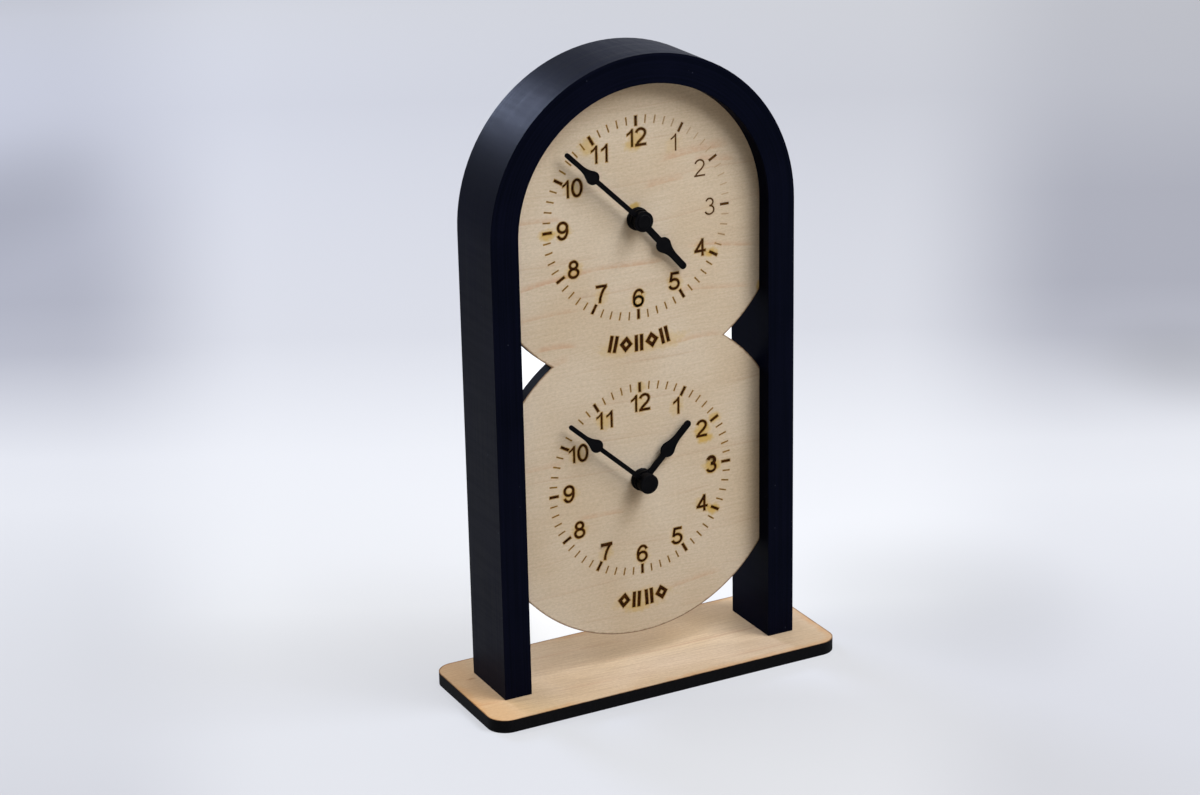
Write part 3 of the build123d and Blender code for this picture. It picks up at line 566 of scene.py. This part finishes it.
def base_wood():
    """The base's wood: a knot, and painted shade that darkens its left and right ends.
    """
    g = Graph("base_wood")
    place = g.place_mm()
    x, y, z = g.parts(place)
    along, across = tilted(g, x, y, BASE_GRAIN_TURN)
    colour, fibres = wood_colour(
        g, along, across, z, BASE_PALE, BASE_WARM, lines=0.3, streaky=0.12
    )
    knot = g.math("ADD", g.spot(x, y, *KNOT), g.noise(place, 0.6, 2.0))
    colour = g.mix(g.span(knot, 0.6, 1.6, 0.7, 0.0), colour, KNOT_BROWN)
    end = g.math("ADD", x, g.noise(place, 0.05, 2.0))
    # Painted shade: the left end of the base is darkened towards tan.
    colour = g.mix(g.span(end, *PAINTED_SHADE_LEFT, 0.30, 0.0), colour, TAN_TINT_AND_LEFT_SHADE)
    # Painted shade: the right end of the base is darkened towards brown.
    colour = g.mix(g.span(x, *PAINTED_SHADE_RIGHT, 0.0, 0.22), colour, RIGHT_SHADE_BROWN)
    inside = inside_base(g, x, y)
    ragged = g.noise(place, 0.22)
    tint = g.math("SUBTRACT", inside, g.math("MULTIPLY", ragged, EDGE_TINT_RAGGED))
    tinted = g.span(tint, *EDGE_TINT, 0.45, 0.0)
    lazy = g.span(g.noise(place, 0.035, 1.0), 0.35, 0.6)
    colour = g.mix(g.math("MULTIPLY", tinted, lazy), colour, TAN_TINT_AND_LEFT_SHADE)
    colour = brown_rim(g, colour, inside, ragged, reach=0.4, strength=0.85)
    return finish_wood(
        g, place, colour, fibres, axis=2, smooth=(0.52, 0.64), charred=0.7, gloss=0.06
    )


def burnt_mark(name, dark, light, wall, fade, worn):
    """Laser-engraved recess with a brown floor and darker walls.

    fade is how fast it turns to the colour worn where the laser burnt less.
    """
    g = Graph(name)
    place = g.place_mm()
    uneven = g.noise(place, 0.5)
    floor = g.mix(g.span(uneven, 0.35, 0.7), dark, light)
    colour = g.mix(side_share(g, 1), floor, wall)
    weak = g.math("SUBTRACT", 1.0, burn_share(g, place))
    colour = g.mix(g.math("MULTIPLY", weak, fade), colour, worn)
    return g.finish(colour, 0.75, g.bump(uneven, 0.1), Specular_IOR_Level=0.05)


# Plastics, metals and the rest

ARCH_MIDDLE = CLOCKS["upper"]
FRAME_DARK = linear(1, 3, 13)
FRAME_LIGHT = linear(5, 7, 22)
FRAME_NICK = linear(72, 76, 92)
FRAME_GLOSS = 0.025
# The inner faces' lower gloss, which paints the shade inside the arch.
INSIDE_SHADE_GLOSS = 0.009
LAYER_SCALES = (2.4, 2.4, 0.012)
ACROSS_SCALES = (0.5, 0.03, 0.5)


def frame_plastic(name, gloss):
    """Printed plastic with layer lines that follow the outline, and a few nicks."""
    g = Graph(name)
    place = g.place_mm()
    x, y, z = g.parts(place)
    above = g.math("MAXIMUM", g.math("SUBTRACT", z, ARCH_MIDDLE), 0.0)
    layers = g.stretched((g.length(x, above), y, z), LAYER_SCALES)
    lines = g.noise(layers, 1.0, 2.0)
    across = g.noise(g.stretched((x, y, z), ACROSS_SCALES), 1.0, 2.0)
    slow = g.noise(place, 0.03, 2.0)
    tone = g.math("ADD", g.math("MULTIPLY", lines, 0.6), g.math("MULTIPLY", slow, 0.4))
    colour = g.mix(g.span(tone, *NOISE_CORE), FRAME_DARK, FRAME_LIGHT)
    nick = g.span(g.cells(place, 0.11), 0.026, 0.040, 0.32, 0.0)
    colour = g.mix(nick, colour, FRAME_NICK)
    rough = g.span(lines, *NOISE_MOST, 0.38, 0.50)
    rough = g.math("ADD", rough, g.span(across, *NOISE_CORE, -0.02, 0.02))
    normal = g.bump(lines, 0.05, strength=0.6)
    return g.finish(colour, rough, normal, Specular_IOR_Level=gloss)


def matt_black():
    """The hands' and caps' black, a little uneven."""
    g = Graph("hand_black")
    place = g.place_mm()
    grain = g.noise(place, 2.2)
    slow = g.noise(place, 0.2, 2.0)
    colour = g.mix(g.span(slow, *NOISE_CORE), linear(4, 4, 6), linear(8, 8, 10))
    rough = g.span(grain, *NOISE_MOST, 0.42, 0.58)
    return g.finish(colour, rough, g.bump(grain, 0.02), Specular_IOR_Level=0.035)


def moulded(name, dark, light, roughness=(0.4, 0.55), fine=1.6, depth=0.03, **fixed):
    """Moulded plastic or rubber: faint flow patches and a fine texture."""
    g = Graph(name)
    place = g.place_mm()
    flow = g.noise(place, 0.08, 2.0)
    grain = g.noise(place, fine)
    colour = g.mix(g.span(flow, *NOISE_CORE), dark, light)
    rough = g.span(grain, *NOISE_MOST, *roughness)
    return g.finish(colour, rough, g.bump(grain, depth), **fixed)


METAL_ROUGHNESS = (0.25, 0.42)


def metal(name, dark, light, stretch=(1, 1, 1)):
    """Bare metal with fine drawn lines and a few dull patches."""
    g = Graph(name)
    drawn = g.stretched(g.parts(g.place_mm()), stretch)
    lines = g.noise(drawn, 1.0, 4.0)
    dull = g.noise(drawn, 0.15, 2.0)
    colour = g.mix(g.span(dull, 0.4, 0.65), light, dark)
    rough = g.span(lines, *NOISE_MOST, *METAL_ROUGHNESS)
    return g.finish(colour, rough, g.bump(lines, 0.02), Metallic=1.0)


# Radians of wire turns in each millimetre along the bobbin.
WIRE_TURNS = 28.0


def wound_copper():
    """Enamelled wire wound side by side along the bobbin."""
    g = Graph("copper")
    place = g.place_mm()
    turns = g.math("SINE", g.math("MULTIPLY", g.parts(place)[0], WIRE_TURNS))
    uneven = g.noise(place, 0.8, 2.0)
    share = g.span(g.math("MULTIPLY_ADD", uneven, 1.2, turns), -0.8, 1.6)
    colour = g.mix(share, linear(96, 44, 18), linear(196, 108, 58))
    return g.finish(colour, 0.32, g.bump(turns, 0.04), Metallic=0.85)


def board_green():
    """Circuit board: solder mask with copper runs under it."""
    g = Graph("board")
    place = g.place_mm()
    x, _, z = g.parts(place)
    runs = g.cells(g.vector(x, 0.0, z), 0.35, "DISTANCE_TO_EDGE")
    run = g.span(runs, 0.05, 0.09, 1.0, 0.0)
    mottle = g.noise(place, 0.9, 2.0)
    mask = g.mix(mottle, linear(14, 62, 38), linear(24, 84, 50))
    colour = g.mix(g.math("MULTIPLY", run, 0.7), mask, linear(58, 128, 66))
    return g.finish(colour, 0.38, g.bump(run, 0.03), Specular_IOR_Level=0.5)


# Where the cell's band begins and where its bare ends begin, along x from its middle.
BATTERY_BAND = (9.0, 9.3)
BATTERY_BARE = (24.3, 24.5)


def battery_wrap():
    """Plain printed sleeve: dark body, one warm band at the plus end, bare ends."""
    g = Graph("battery_shell")
    place = g.place_mm()
    x = g.parts(place)[0]
    scuff = g.noise(place, 0.7)
    body = g.mix(scuff, linear(34, 36, 40), linear(52, 54, 60))
    band = g.mix(scuff, linear(176, 116, 44), linear(198, 138, 62))
    colour = g.mix(g.span(x, *BATTERY_BAND), body, band)
    bare = g.span(g.math("ABSOLUTE", x), *BATTERY_BARE)
    colour = g.mix(bare, colour, linear(176, 178, 182))
    rough = g.span(scuff, *NOISE_MOST, 0.28, 0.42)
    return g.finish(colour, rough, g.bump(scuff, 0.02), Specular_IOR_Level=0.5)


def slot_materials():
    """A material for each slot that the CAD nodes name."""
    return {
        "plywood": base_wood(),
        "frame_plastic": frame_plastic("frame_plastic", FRAME_GLOSS),
        "hand_black": matt_black(),
        "steel": metal(
            "steel", linear(128, 130, 134), linear(186, 188, 192), stretch=(3, 0.3, 3)
        ),
        "case_plastic": moulded("case_plastic", linear(18, 18, 20), linear(26, 26, 29)),
        "washer_rubber": moulded(
            "washer_rubber",
            linear(14, 14, 15),
            linear(24, 24, 25),
            roughness=(0.7, 0.85),
            fine=2.5,
            depth=0.05,
        ),
        "knob_plastic": moulded("knob_plastic", linear(22, 22, 24), linear(34, 34, 37)),
        "gear_plastic": moulded(
            "gear_plastic",
            linear(212, 206, 190),
            linear(228, 223, 210),
            roughness=(0.3, 0.42),
            Subsurface_Weight=0.08,
        ),
        "bridge_plastic": moulded(
            "bridge_plastic", linear(176, 176, 172), linear(196, 196, 192)
        ),
        "magnet": metal("magnet", linear(58, 58, 62), linear(84, 84, 88)),
        "copper": wound_copper(),
        "board": board_green(),
        "battery_shell": battery_wrap(),
    }


# Shapes for the engraved marks, drawn in the plane of the dial: x right, z up.

# Glyphs are one unit high. The step is the room a digit takes along the line.
GLYPH_PEN = 0.148
GLYPH_STEP = 0.777
GLYPH_STEP_ONE = 0.600
GLYPH_WIDEN = 1.04
# The least cosine that a corner's mitre is worked out with, so that none grows long.
MITRE_LEAST = 0.35


def arc(x, y, half_width, half_height, start, end, count):
    points = []
    for step in range(count + 1):
        angle = math.radians(start + (end - start) * step / count)
        points.append(
            (x + half_width * math.cos(angle), y + half_height * math.sin(angle))
        )
    return points


def ring(x, y, half_width, half_height, count=32):
    return arc(x, y, half_width, half_height, 0, 360, count)[:-1]


def swapped(strokes):
    """The same strokes turned half round within the glyph's step."""
    out = []
    for kind, points in strokes:
        turned = [(GLYPH_STEP - x, 1 - y) for x, y in points]
        out.append((kind, turned))
    return out


ONE = [
    (0.520, 0.0),
    (0.398, 0.0),
    (0.398, 0.782),
    (0.330, 0.728),
    (0.245, 0.676),
    (0.152, 0.634),
    (0.152, 0.753),
    (0.265, 0.815),
    (0.365, 0.905),
    (0.441, 1.004),
    (0.520, 1.004),
]
TWO_BEND = [(0.585, 0.56), (0.49, 0.44), (0.36, 0.33), (0.22, 0.21), (0.14, 0.09)]
SIX = [
    ("loop", ring(0.392, 0.315, 0.262, 0.268)),
    ("line", arc(0.415, 0.50, 0.290, 0.452, 32, 190, 20)),
]
GLYPHS = {
    "0": [("loop", ring(0.387, 0.5, 0.262, 0.455, 40))],
    "1": [("shape", ONE)],
    "2": [
        ("line", arc(0.372, 0.705, 0.262, 0.245, 168, -20, 20) + TWO_BEND),
        ("line", [(0.045, 0.06), (0.703, 0.06)]),
    ],
    "3": [
        ("line", arc(0.368, 0.735, 0.215, 0.212, 160, -88, 20)),
        ("line", arc(0.372, 0.288, 0.262, 0.242, 92, -164, 22)),
    ],
    "4": [
        ("line", [(0.512, 0.0), (0.512, 1.0)]),
        ("line", [(0.018, 0.295), (0.709, 0.295)]),
        ("line", [(0.085, 0.29), (0.515, 0.925)]),
    ],
    "5": [
        ("line", [(0.665, 0.937), (0.232, 0.937), (0.155, 0.46)]),
        ("line", arc(0.365, 0.318, 0.282, 0.270, 138, -162, 24)),
    ],
    "6": SIX,
    "7": [
        ("line", [(0.066, 0.937), (0.714, 0.937)]),
        ("line", [(0.668, 0.92), (0.52, 0.74), (0.40, 0.52), (0.315, 0.26), (0.28, 0)]),
    ],
    "8": [
        ("loop", ring(0.387, 0.742, 0.212, 0.205)),
        ("loop", ring(0.387, 0.288, 0.264, 0.240)),
    ],
    "9": swapped(SIX),
}


def offset_points(points, distance, closed):
    """points moved sideways by distance, with mitred corners."""
    out = []
    last = len(points) - 1
    for place, (x, y) in enumerate(points):
        before = points[place - 1] if closed or place > 0 else None
        after = points[(place + 1) % len(points)] if closed or place < last else None
        sides = []
        for first, second in ((before, (x, y)), ((x, y), after)):
            if first is None or second is None:
                continue
            run = Vector((second[0] - first[0], second[1] - first[1])).normalized()
            sides.append(Vector((-run.y, run.x)))
        middle = sum(sides, Vector((0, 0))).normalized()
        reach = distance / max(middle.dot(sides[0]), MITRE_LEAST)
        out.append((x + middle.x * reach, y + middle.y * reach))
    return out


def longer_ends(points, extra):
    """points with both ends moved on along their own direction."""
    out = [Vector(point) for point in points]
    out[0] += (out[0] - out[1]).normalized() * extra
    out[-1] += (out[-1] - out[-2]).normalized() * extra
    return [tuple(point) for point in out]


def stroke_bands(kind, points, pen, extra):
    """The outline of one stroke: one closed border, or an outer and an inner one.

    extra is how far the outline stands outside the stroke on every side.
    """
    if kind == "shape":
        return [offset_points(points, extra - (GLYPH_PEN - pen) / 2, True)]
    closed = kind == "loop"
    if not closed:
        points = longer_ends(points, extra)
    left = offset_points(points, pen / 2 + extra, closed)
    right = offset_points(points, -pen / 2 - extra, closed)
    if closed:
        return [left, right]
    return [left + right[::-1]]


def quads_between(first, second):
    """The faces of a band between two closed rows of as many points."""
    count = len(first)
    faces = []
    for place in range(count):
        after = (place + 1) % count
        faces.append((first[place], first[after], second[after], second[place]))
    return faces


def add_prism(mesh, borders, to_dial, front, back, finish):
    """A closed prism between two depths; two borders make a ring."""
    levels = []
    for depth in (front, back):
        rows = []
        for border in borders:
            row = []
            for point in border:
                x, z = to_dial(point)
                row.append(mesh.verts.new(Vector((x, depth, z)) * MM))
            rows.append(row)
        levels.append(rows)
    faces = []
    for near, far in zip(*levels):
        faces += quads_between(near, far)
    for rows in levels:
        faces += rows if len(rows) == 1 else quads_between(*rows)
    for face in faces:
        mesh.faces.new(face).material_index = finish


# Ticks: outer radius, then inner radius and width.
TICK_OUTER = 46.2
HOUR_TICK = (41.7, 1.24)
MINUTE_TICK = (42.7, 0.46)
NUMERAL_HEIGHT = 8.0
# Numerals that the laser cut with a thinner line, as shares of the usual pen.
THIN_NUMERALS = {("upper", 1): 0.80, ("upper", 2): 0.66, ("upper", 3): 0.66}
# How far a cutter stands out of the plate's front.
CUTTER_PROUD = 0.6
# Material place and depth of what the laser leaves: a browned border, a full mark and
# a faint one.
BORDER = (1, 0.03)
FULL = (2, 0.22)
FAINT = (3, 0.10)
BORDER_WIDTH = 0.34
FAINT_BORDER_WIDTH = 0.22
# Strokes that meet are cut by different cutters. Each group goes a little deeper than
# the one before, so that no two floors lie in one plane.
LAYER_STEP = 0.004
GROUPS = (
    "tick",
    "figure_0",
    "figure_1",
    "digit_0_0",
    "digit_0_1",
    "digit_0_2",
    "digit_1_0",
    "digit_1_1",
)
# The ornament's radius and figures on each dial, from left to right.
ORNAMENTS = {
    "upper": (57.4, ("bars", "lozenge", "bars", "lozenge", "bars")),
    "lower": (58.6, ("lozenge", "bars", "bars", "lozenge")),
}
ORNAMENT_HEIGHT = 7.6
ORNAMENT_PITCH = 6.5
ORNAMENT_PEN = 1.6
LOZENGE_HALF = 2.2
LOZENGE_TIP = 0.8
BAR_SPREAD = 1.3


def tick_strokes():
    """The sixty ticks of one dial."""
    for minute in range(60):
        whole = minute % 5 == 0
        inner, pen = HOUR_TICK if whole else MINUTE_TICK
        angle = math.radians(minute * 6)
        ends = []
        for radius in (inner, TICK_OUTER):
            ends.append((radius * math.sin(angle), radius * math.cos(angle)))
        yield "tick", FULL if whole else FAINT, "line", ends, pen, 1.0, (0, 0), 0.0


def step_of(digit):
    return GLYPH_STEP_ONE if digit == "1" else GLYPH_STEP


def numeral_strokes(clock):
    """The numbers 1 to 12 of one dial, upright, as strokes."""
    for hour in range(1, 13):
        pen = GLYPH_PEN * THIN_NUMERALS.get((clock, hour), 1.0)
        angle = math.radians(hour * 30)
        middle = (NUMERAL_RADIUS * math.sin(angle), NUMERAL_RADIUS * math.cos(angle))
        text = str(hour)
        start = -sum(step_of(digit) for digit in text) / 2
        for place, digit in enumerate(text):
            for stroke, (kind, points) in enumerate(GLYPHS[digit]):
                drawn = []
                for x, y in points:
                    drawn.append(((start + x) * GLYPH_WIDEN, y - 0.5))
                group = f"digit_{place}_{stroke}"
                yield group, FULL, kind, drawn, pen, NUMERAL_HEIGHT, middle, 0.0
            start += step_of(digit)


def ornament_strokes(clock):
    """Lozenges and pairs of bars on an arc below the numerals."""
    radius, figures = ORNAMENTS[clock]
    for place, figure in enumerate(figures):
        around = (place - (len(figures) - 1) / 2) * ORNAMENT_PITCH / radius
        tall = ORNAMENT_HEIGHT / 2
        if figure == "lozenge":
            inner = tall - ORNAMENT_PEN * LOZENGE_TIP
            sides = LOZENGE_HALF
            drawn = [("loop", [(sides, 0), (0, inner), (-sides, 0), (0, -inner)])]
        else:
            drawn = []
            for side in (-BAR_SPREAD, BAR_SPREAD):
                drawn.append(("line", [(side, -tall), (side, tall)]))
        middle = (radius * math.sin(around), -radius * math.cos(around))
        for stroke, (kind, points) in enumerate(drawn):
            group = f"figure_{stroke}"
            yield group, FULL, kind, points, ORNAMENT_PEN, 1.0, middle, around


def add_mark(groups, clock, stroke):
    """Adds one stroke's prism to its group's cutter, and one for its browned border."""
    group, finish, kind, points, pen, scale, middle, around = stroke
    cosine, sine = math.cos(around), math.sin(around)

    def to_dial(point):
        x, z = point[0] * scale, point[1] * scale
        across = middle[0] + x * cosine - z * sine
        return across, CLOCKS[clock] + middle[1] + x * sine + z * cosine

    around_mark = BORDER_WIDTH if finish == FULL else FAINT_BORDER_WIDTH
    for (place, depth), extra in ((finish, 0.0), (BORDER, around_mark / scale)):
        mesh = groups.setdefault((place == BORDER[0], group), bmesh.new())
        borders = stroke_bands(kind, points, pen, extra)
        layer = LAYER_STEP * GROUPS.index(group)
        front, back = DIAL_FRONT - CUTTER_PROUD, DIAL_FRONT + depth + layer
        add_prism(mesh, borders, to_dial, front, back, place)


WELD_DISTANCE_M = 1e-6
FLAT_ANGLE = 0.4


def plain_copy(name, node):
    """A new object with the node's surface, welded, with flat areas as one face."""
    mesh = bmesh.new()
    mesh.from_mesh(nodes[node].data)
    bmesh.ops.remove_doubles(mesh, verts=mesh.verts, dist=WELD_DISTANCE_M)
    bmesh.ops.dissolve_limit(
        mesh,
        angle_limit=math.radians(FLAT_ANGLE),
        verts=mesh.verts,
        edges=mesh.edges,
        delimit={"NORMAL"},
    )
    data = bpy.data.meshes.new(name)
    points = [tuple(v.co) for v in mesh.verts]
    mesh.verts.index_update()
    faces = [[v.index for v in face.verts] for face in mesh.faces]
    mesh.free()
    data.from_pydata(points, [], faces)
    return placed(name, data)


def bake_modifiers(piece):
    """Replaces the piece's mesh by what its modifiers make of it."""
    bpy.context.view_layer.update()
    shape = piece.evaluated_get(bpy.context.evaluated_depsgraph_get())
    data = bpy.data.meshes.new_from_object(shape)
    piece.modifiers.clear()
    old = piece.data
    piece.data = data
    bpy.data.meshes.remove(old)


def engraving_finishes():
    """The plate's materials, in the order of their material places."""
    return (
        dial_wood(),
        browned_wood(),
        burnt_mark(
            "burnt",
            dark=linear(34, 14, 2),
            light=linear(68, 36, 6),
            wall=linear(24, 9, 2),
            fade=0.5,
            worn=linear(140, 98, 54),
        ),
        burnt_mark(
            "faint",
            dark=linear(90, 60, 16),
            light=linear(132, 100, 44),
            wall=linear(82, 54, 16),
            fade=2.0,
            worn=linear(178, 156, 126),
        ),
    )


def cut_from(piece, name, mesh):
    """Lets the piece be cut by the mesh, with its own materials; returns the cutter."""
    bmesh.ops.recalc_face_normals(mesh, faces=mesh.faces)
    data = bpy.data.meshes.new(name)
    mesh.to_mesh(data)
    mesh.free()
    for material in piece.data.materials:
        data.materials.append(material)
    cutter = placed(name, data)
    cut = piece.modifiers.new(name, "BOOLEAN")
    cut.operation = "DIFFERENCE"
    cut.solver = "EXACT"
    cut.object = cutter
    return cutter


def engraved_dial():
    """The dial plate with all its marks cut into it."""
    piece = plain_copy("engraved_dial", "dial_plate")
    for material in engraving_finishes():
        piece.data.materials.append(material)
    groups = {}
    for clock in CLOCKS:
        strokes = [*tick_strokes(), *numeral_strokes(clock), *ornament_strokes(clock)]
        for stroke in strokes:
            add_mark(groups, clock, stroke)
    cutters = []
    for (is_border, group), mesh in sorted(groups.items(), reverse=True):
        cutters.append(cut_from(piece, f"marks_{group}_{int(is_border)}", mesh))
    bake_modifiers(piece)
    for cutter in cutters:
        bpy.data.objects.remove(cutter)
    return piece


EDGE_ANGLE = math.radians(35)
EDGE_SEGMENTS = 2
# Weight 100 counts every face by its area alone.
AREA_WEIGHT = 100


def bevelled(name, node, width_mm, material):
    """A copy of a node with its sharp edges broken."""
    piece = plain_copy(name, node)
    edge = piece.modifiers.new("edge", "BEVEL")
    edge.width = width_mm * MM
    edge.segments = EDGE_SEGMENTS
    edge.limit_method = "ANGLE"
    edge.angle_limit = EDGE_ANGLE
    edge.miter_outer = "MITER_ARC"
    bake_modifiers(piece)
    piece.data.shade_smooth()
    piece.data.set_sharp_from_angle(angle=EDGE_ANGLE)
    # Large faces keep their own direction, so flat areas don't shade like pillows.
    even = piece.modifiers.new("even", "WEIGHTED_NORMAL")
    even.weight = AREA_WEIGHT
    even.keep_sharp = True
    bake_modifiers(piece)
    piece.data.materials.append(material)
    return piece


# A face looks inwards if its normal points this much against the way out.
INWARD = -0.5


def dress_inside(arch, finish):
    """Gives the faces that look inwards, at the dial, a less glossy copy of the plastic:
    painted shade on the inside of the arch.
    """
    arch.data.materials.append(finish)
    for face in arch.data.polygons:
        x, above = face.center.x, max(face.center.z - ARCH_MIDDLE * MM, 0)
        outward = (x * face.normal.x + above * face.normal.z) / math.hypot(x, above)
        if outward < INWARD:
            face.material_index = 1


def stand_in(piece, node):
    """piece takes the node's place, on the node's body."""
    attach(piece, body_of_node[node])
    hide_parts(node)


def dress_nodes(slots):
    """Gives every node the material of its slot."""
    for node in nodes.values():
        for place, old in enumerate(node.data.materials):
            node.data.materials[place] = slots[old.name.split(".")[0]]


# Studio

# The floor's and the lights' sizes and places are in metres.
FLOOR_HALF = 7.0
FLOOR_CELLS = 8


def make_floor():
    """A wide level floor whose own axes run across and along the view."""
    mesh = bmesh.new()
    bmesh.ops.create_grid(
        mesh, x_segments=FLOOR_CELLS, y_segments=FLOOR_CELLS, size=FLOOR_HALF
    )
    data = bpy.data.meshes.new("studio_floor")
    mesh.to_mesh(data)
    mesh.free()
    floor = placed("studio_floor", data)
    floor.rotation_euler.z = math.radians(CAMERA_AZIMUTH)
    data.materials.append(floor_material())


# How bright the floor looks, from 0 to 255, by the distance behind the clock, in the
# middle and at the sides.
FLOOR_NEAR = -0.20
FLOOR_DEEP = 1.70
FLOOR_MIDDLE = (
    (-0.04, 210),
    (0.07, 227),
    (0.28, 219),
    (0.48, 202),
    (1.06, 199),
    (1.41, 210),
)
FLOOR_SIDES = (
    (-0.12, 198),
    (0.21, 214),
    (0.28, 211),
    (0.46, 170),
    (0.56, 162),
    (0.77, 166),
    (1.08, 185),
    (1.40, 196),
)
# Each level below this one makes the floor's grey bluer by the cool share.
COOL_BELOW = 264
COOL_SHARE = 0.1
# The sides begin and are whole at these slopes, seen from where the viewer stands.
SIDES_MIDDLE = -0.03
SIDES_REACH = (0.112, 0.185)
VIEWER_AWAY = 1.22
# Painted pools of light on the floor, seen through the gaps: middle and half size,
# across and away.
PAINTED_LIGHT_POOLS = (
    (-0.030, 0.065, 0.030, 0.075),
    (-0.053, 0.420, 0.028, 0.110),
    (0.064, 0.471, 0.010, 0.040),
)
PAINTED_POOL_FADE = (0.45, 1.45)
# Painted soft shadows on the floor: middle and half size, across and away, and strength.
PAINTED_SHADOWS = (
    (0.140, 0.065, 0.090, 0.100, 0.17),
    (0.335, 0.400, 0.070, 0.090, 0.16),
    (-0.440, 0.800, 0.080, 0.200, 0.13),
)
PAINTED_SHADOW_FADE = (0.1, 1.2)
BLACK = (0.0, 0.0, 0.0, 1.0)
WHITE = (1.0, 1.0, 1.0, 1.0)
# The share of the floor's seen colour that shines by itself, and what it throws back.
SEEN_GLOW = 0.7
BOUNCE = linear(172, 163, 151)


def floor_ramp(g, value, stops):
    """A ramp between greys at distances along the floor, bluer where they are darker."""
    ramp = g.add("ShaderNodeValToRGB")
    entries = ramp.color_ramp.elements
    while len(entries) < len(stops):
        entries.new(0.5)
    for entry, (distance, level) in zip(entries, stops):
        entry.position = (distance - FLOOR_NEAR) / FLOOR_DEEP
        cool = COOL_SHARE * (COOL_BELOW - level)
        entry.color = linear(level, level + 1, level + cool)
    g.put(ramp.inputs[0], value)
    return ramp.outputs[0]


def seen_share(g):
    """1 for rays that show the backdrop: straight, or by way of gloss or glass."""
    path = g.add("ShaderNodeLightPath")
    seen = path.outputs["Is Camera Ray"]
    for name in ("Is Glossy Ray", "Is Transmission Ray"):
        seen = g.math("MAXIMUM", seen, path.outputs[name])
    return seen


def floor_material():
    """A floor that shows one set of colours and lights the object with another."""
    g = Graph("studio_floor")
    where = g.add("ShaderNodeTexCoord").outputs["Object"]
    across, away, _ = g.parts(where)
    run = g.math("MULTIPLY_ADD", away, 1 / FLOOR_DEEP, -FLOOR_NEAR / FLOOR_DEEP)
    middle = floor_ramp(g, run, FLOOR_MIDDLE)
    sides = floor_ramp(g, run, FLOOR_SIDES)
    outward = g.math("ABSOLUTE", g.math("SUBTRACT", across, SIDES_MIDDLE))
    outward = g.math("DIVIDE", outward, g.math("ADD", away, VIEWER_AWAY))
    colour = g.mix(g.span(outward, *SIDES_REACH), middle, sides)
    # Painted shadow: the floor's colour is darkened towards black in soft ovals.
    for *place, strength in PAINTED_SHADOWS:
        shade = g.span(g.spot(across, away, *place), *PAINTED_SHADOW_FADE, strength, 0.0)
        colour = g.mix(shade, colour, BLACK)
    # Painted light: the floor's colour is whitened in soft pools.
    for place in PAINTED_LIGHT_POOLS:
        light_pool = g.span(g.spot(across, away, *place), *PAINTED_POOL_FADE, 1.0, 0.0)
        colour = g.mix(light_pool, colour, WHITE)
    seen = seen_share(g)
    diffuse = g.add("ShaderNodeBsdfDiffuse")
    glow = g.add("ShaderNodeEmission")
    g.put(diffuse.inputs["Color"], g.mix(seen, BOUNCE, colour))
    g.put(glow.inputs["Color"], colour)
    join = g.add("ShaderNodeMixShader")
    g.put(join.inputs[0], g.math("MULTIPLY", seen, SEEN_GLOW))
    g.put(join.inputs[1], diffuse.outputs[0])
    g.put(join.inputs[2], glow.outputs[0])
    return g.show(join)


LIGHT_AIM = Vector((0, 0, 0.15))
# Name, direction and distance from the aim, size, power in watts, colour.
LIGHTS = (
    ("top", (0.00, 0.16, 1.00), 1.7, 1.2, 15.0, (1.0, 0.89, 0.76)),
    ("overhead", (0.55, -0.40, 1.00), 1.6, 0.5, 17.4, (0.82, 0.89, 1.0)),
    ("front_high", (0.40, -1.00, 1.40), 1.6, 0.8, 11.3, (0.88, 0.94, 1.0)),
    ("front_right", (0.85, -1.00, 0.85), 1.6, 0.8, 11.4, (1.0, 0.95, 0.92)),
    ("back_left", (-0.80, 0.50, 0.90), 1.7, 0.9, 12.6, (0.96, 1.0, 0.90)),
    ("back_right", (0.70, 0.90, 0.80), 1.7, 0.9, 2.6, (0.76, 0.84, 1.0)),
    ("sheen", (-0.21, 0.86, 0.42), 1.7, 0.46, 22.5, (0.60, 0.70, 1.0)),
)
WORLD_COLOUR = (0.92, 0.95, 1.0, 1.0)
WORLD_LIT = 0.01
WORLD_SEEN = 0.80


def area_light(name, direction, distance, size, power, colour):
    """A square lamp that shines at the aim."""
    data = bpy.data.lights.new(name, "AREA")
    data.shape = "SQUARE"
    data.size = size
    data.energy = power
    data.color = colour
    lamp = placed(name, data)
    toward = Vector(direction).normalized()
    lamp.location = LIGHT_AIM + toward * distance
    lamp.rotation_euler = toward.to_track_quat("Z", "Y").to_euler()


def make_world():
    """An even pale world that looks brighter than it lights."""
    world = bpy.data.worlds.new("studio_world")
    bpy.context.scene.world = world
    g = Graph("studio_world", world)
    shade = g.add("ShaderNodeBackground")
    strength = g.math("MULTIPLY_ADD", seen_share(g), WORLD_SEEN - WORLD_LIT, WORLD_LIT)
    g.put(shade.inputs["Color"], WORLD_COLOUR)
    g.put(shade.inputs["Strength"], strength)
    g.show(shade, "ShaderNodeOutputWorld")


# How wide the broken edges are, in millimetres.
ARCH_EDGE = 0.4
HAND_EDGES = {"hour_hand": 0.15, "minute_hand": 0.15, "hand_cap": 0.25}

make_camera()
materials = slot_materials()
dress_nodes(materials)
stand_in(engraved_dial(), "dial_plate")
arch = bevelled("arch_shell", "arch_frame", ARCH_EDGE, materials["frame_plastic"])
# Painted shade: the arch's inward faces get a less glossy copy of its plastic.
dress_inside(arch, frame_plastic("frame_inside_shade", INSIDE_SHADE_GLOSS))
stand_in(arch, "arch_frame")
for clock in CLOCKS:
    for kind, width in HAND_EDGES.items():
        node = f"{clock}_{kind}"
        shape = bevelled(f"{node}_shape", node, width, materials["hand_black"])
        stand_in(shape, node)
make_floor()
for light in LIGHTS:
    area_light(*light)
make_world()
bpy.context.scene.view_settings.view_transform = "Standard"
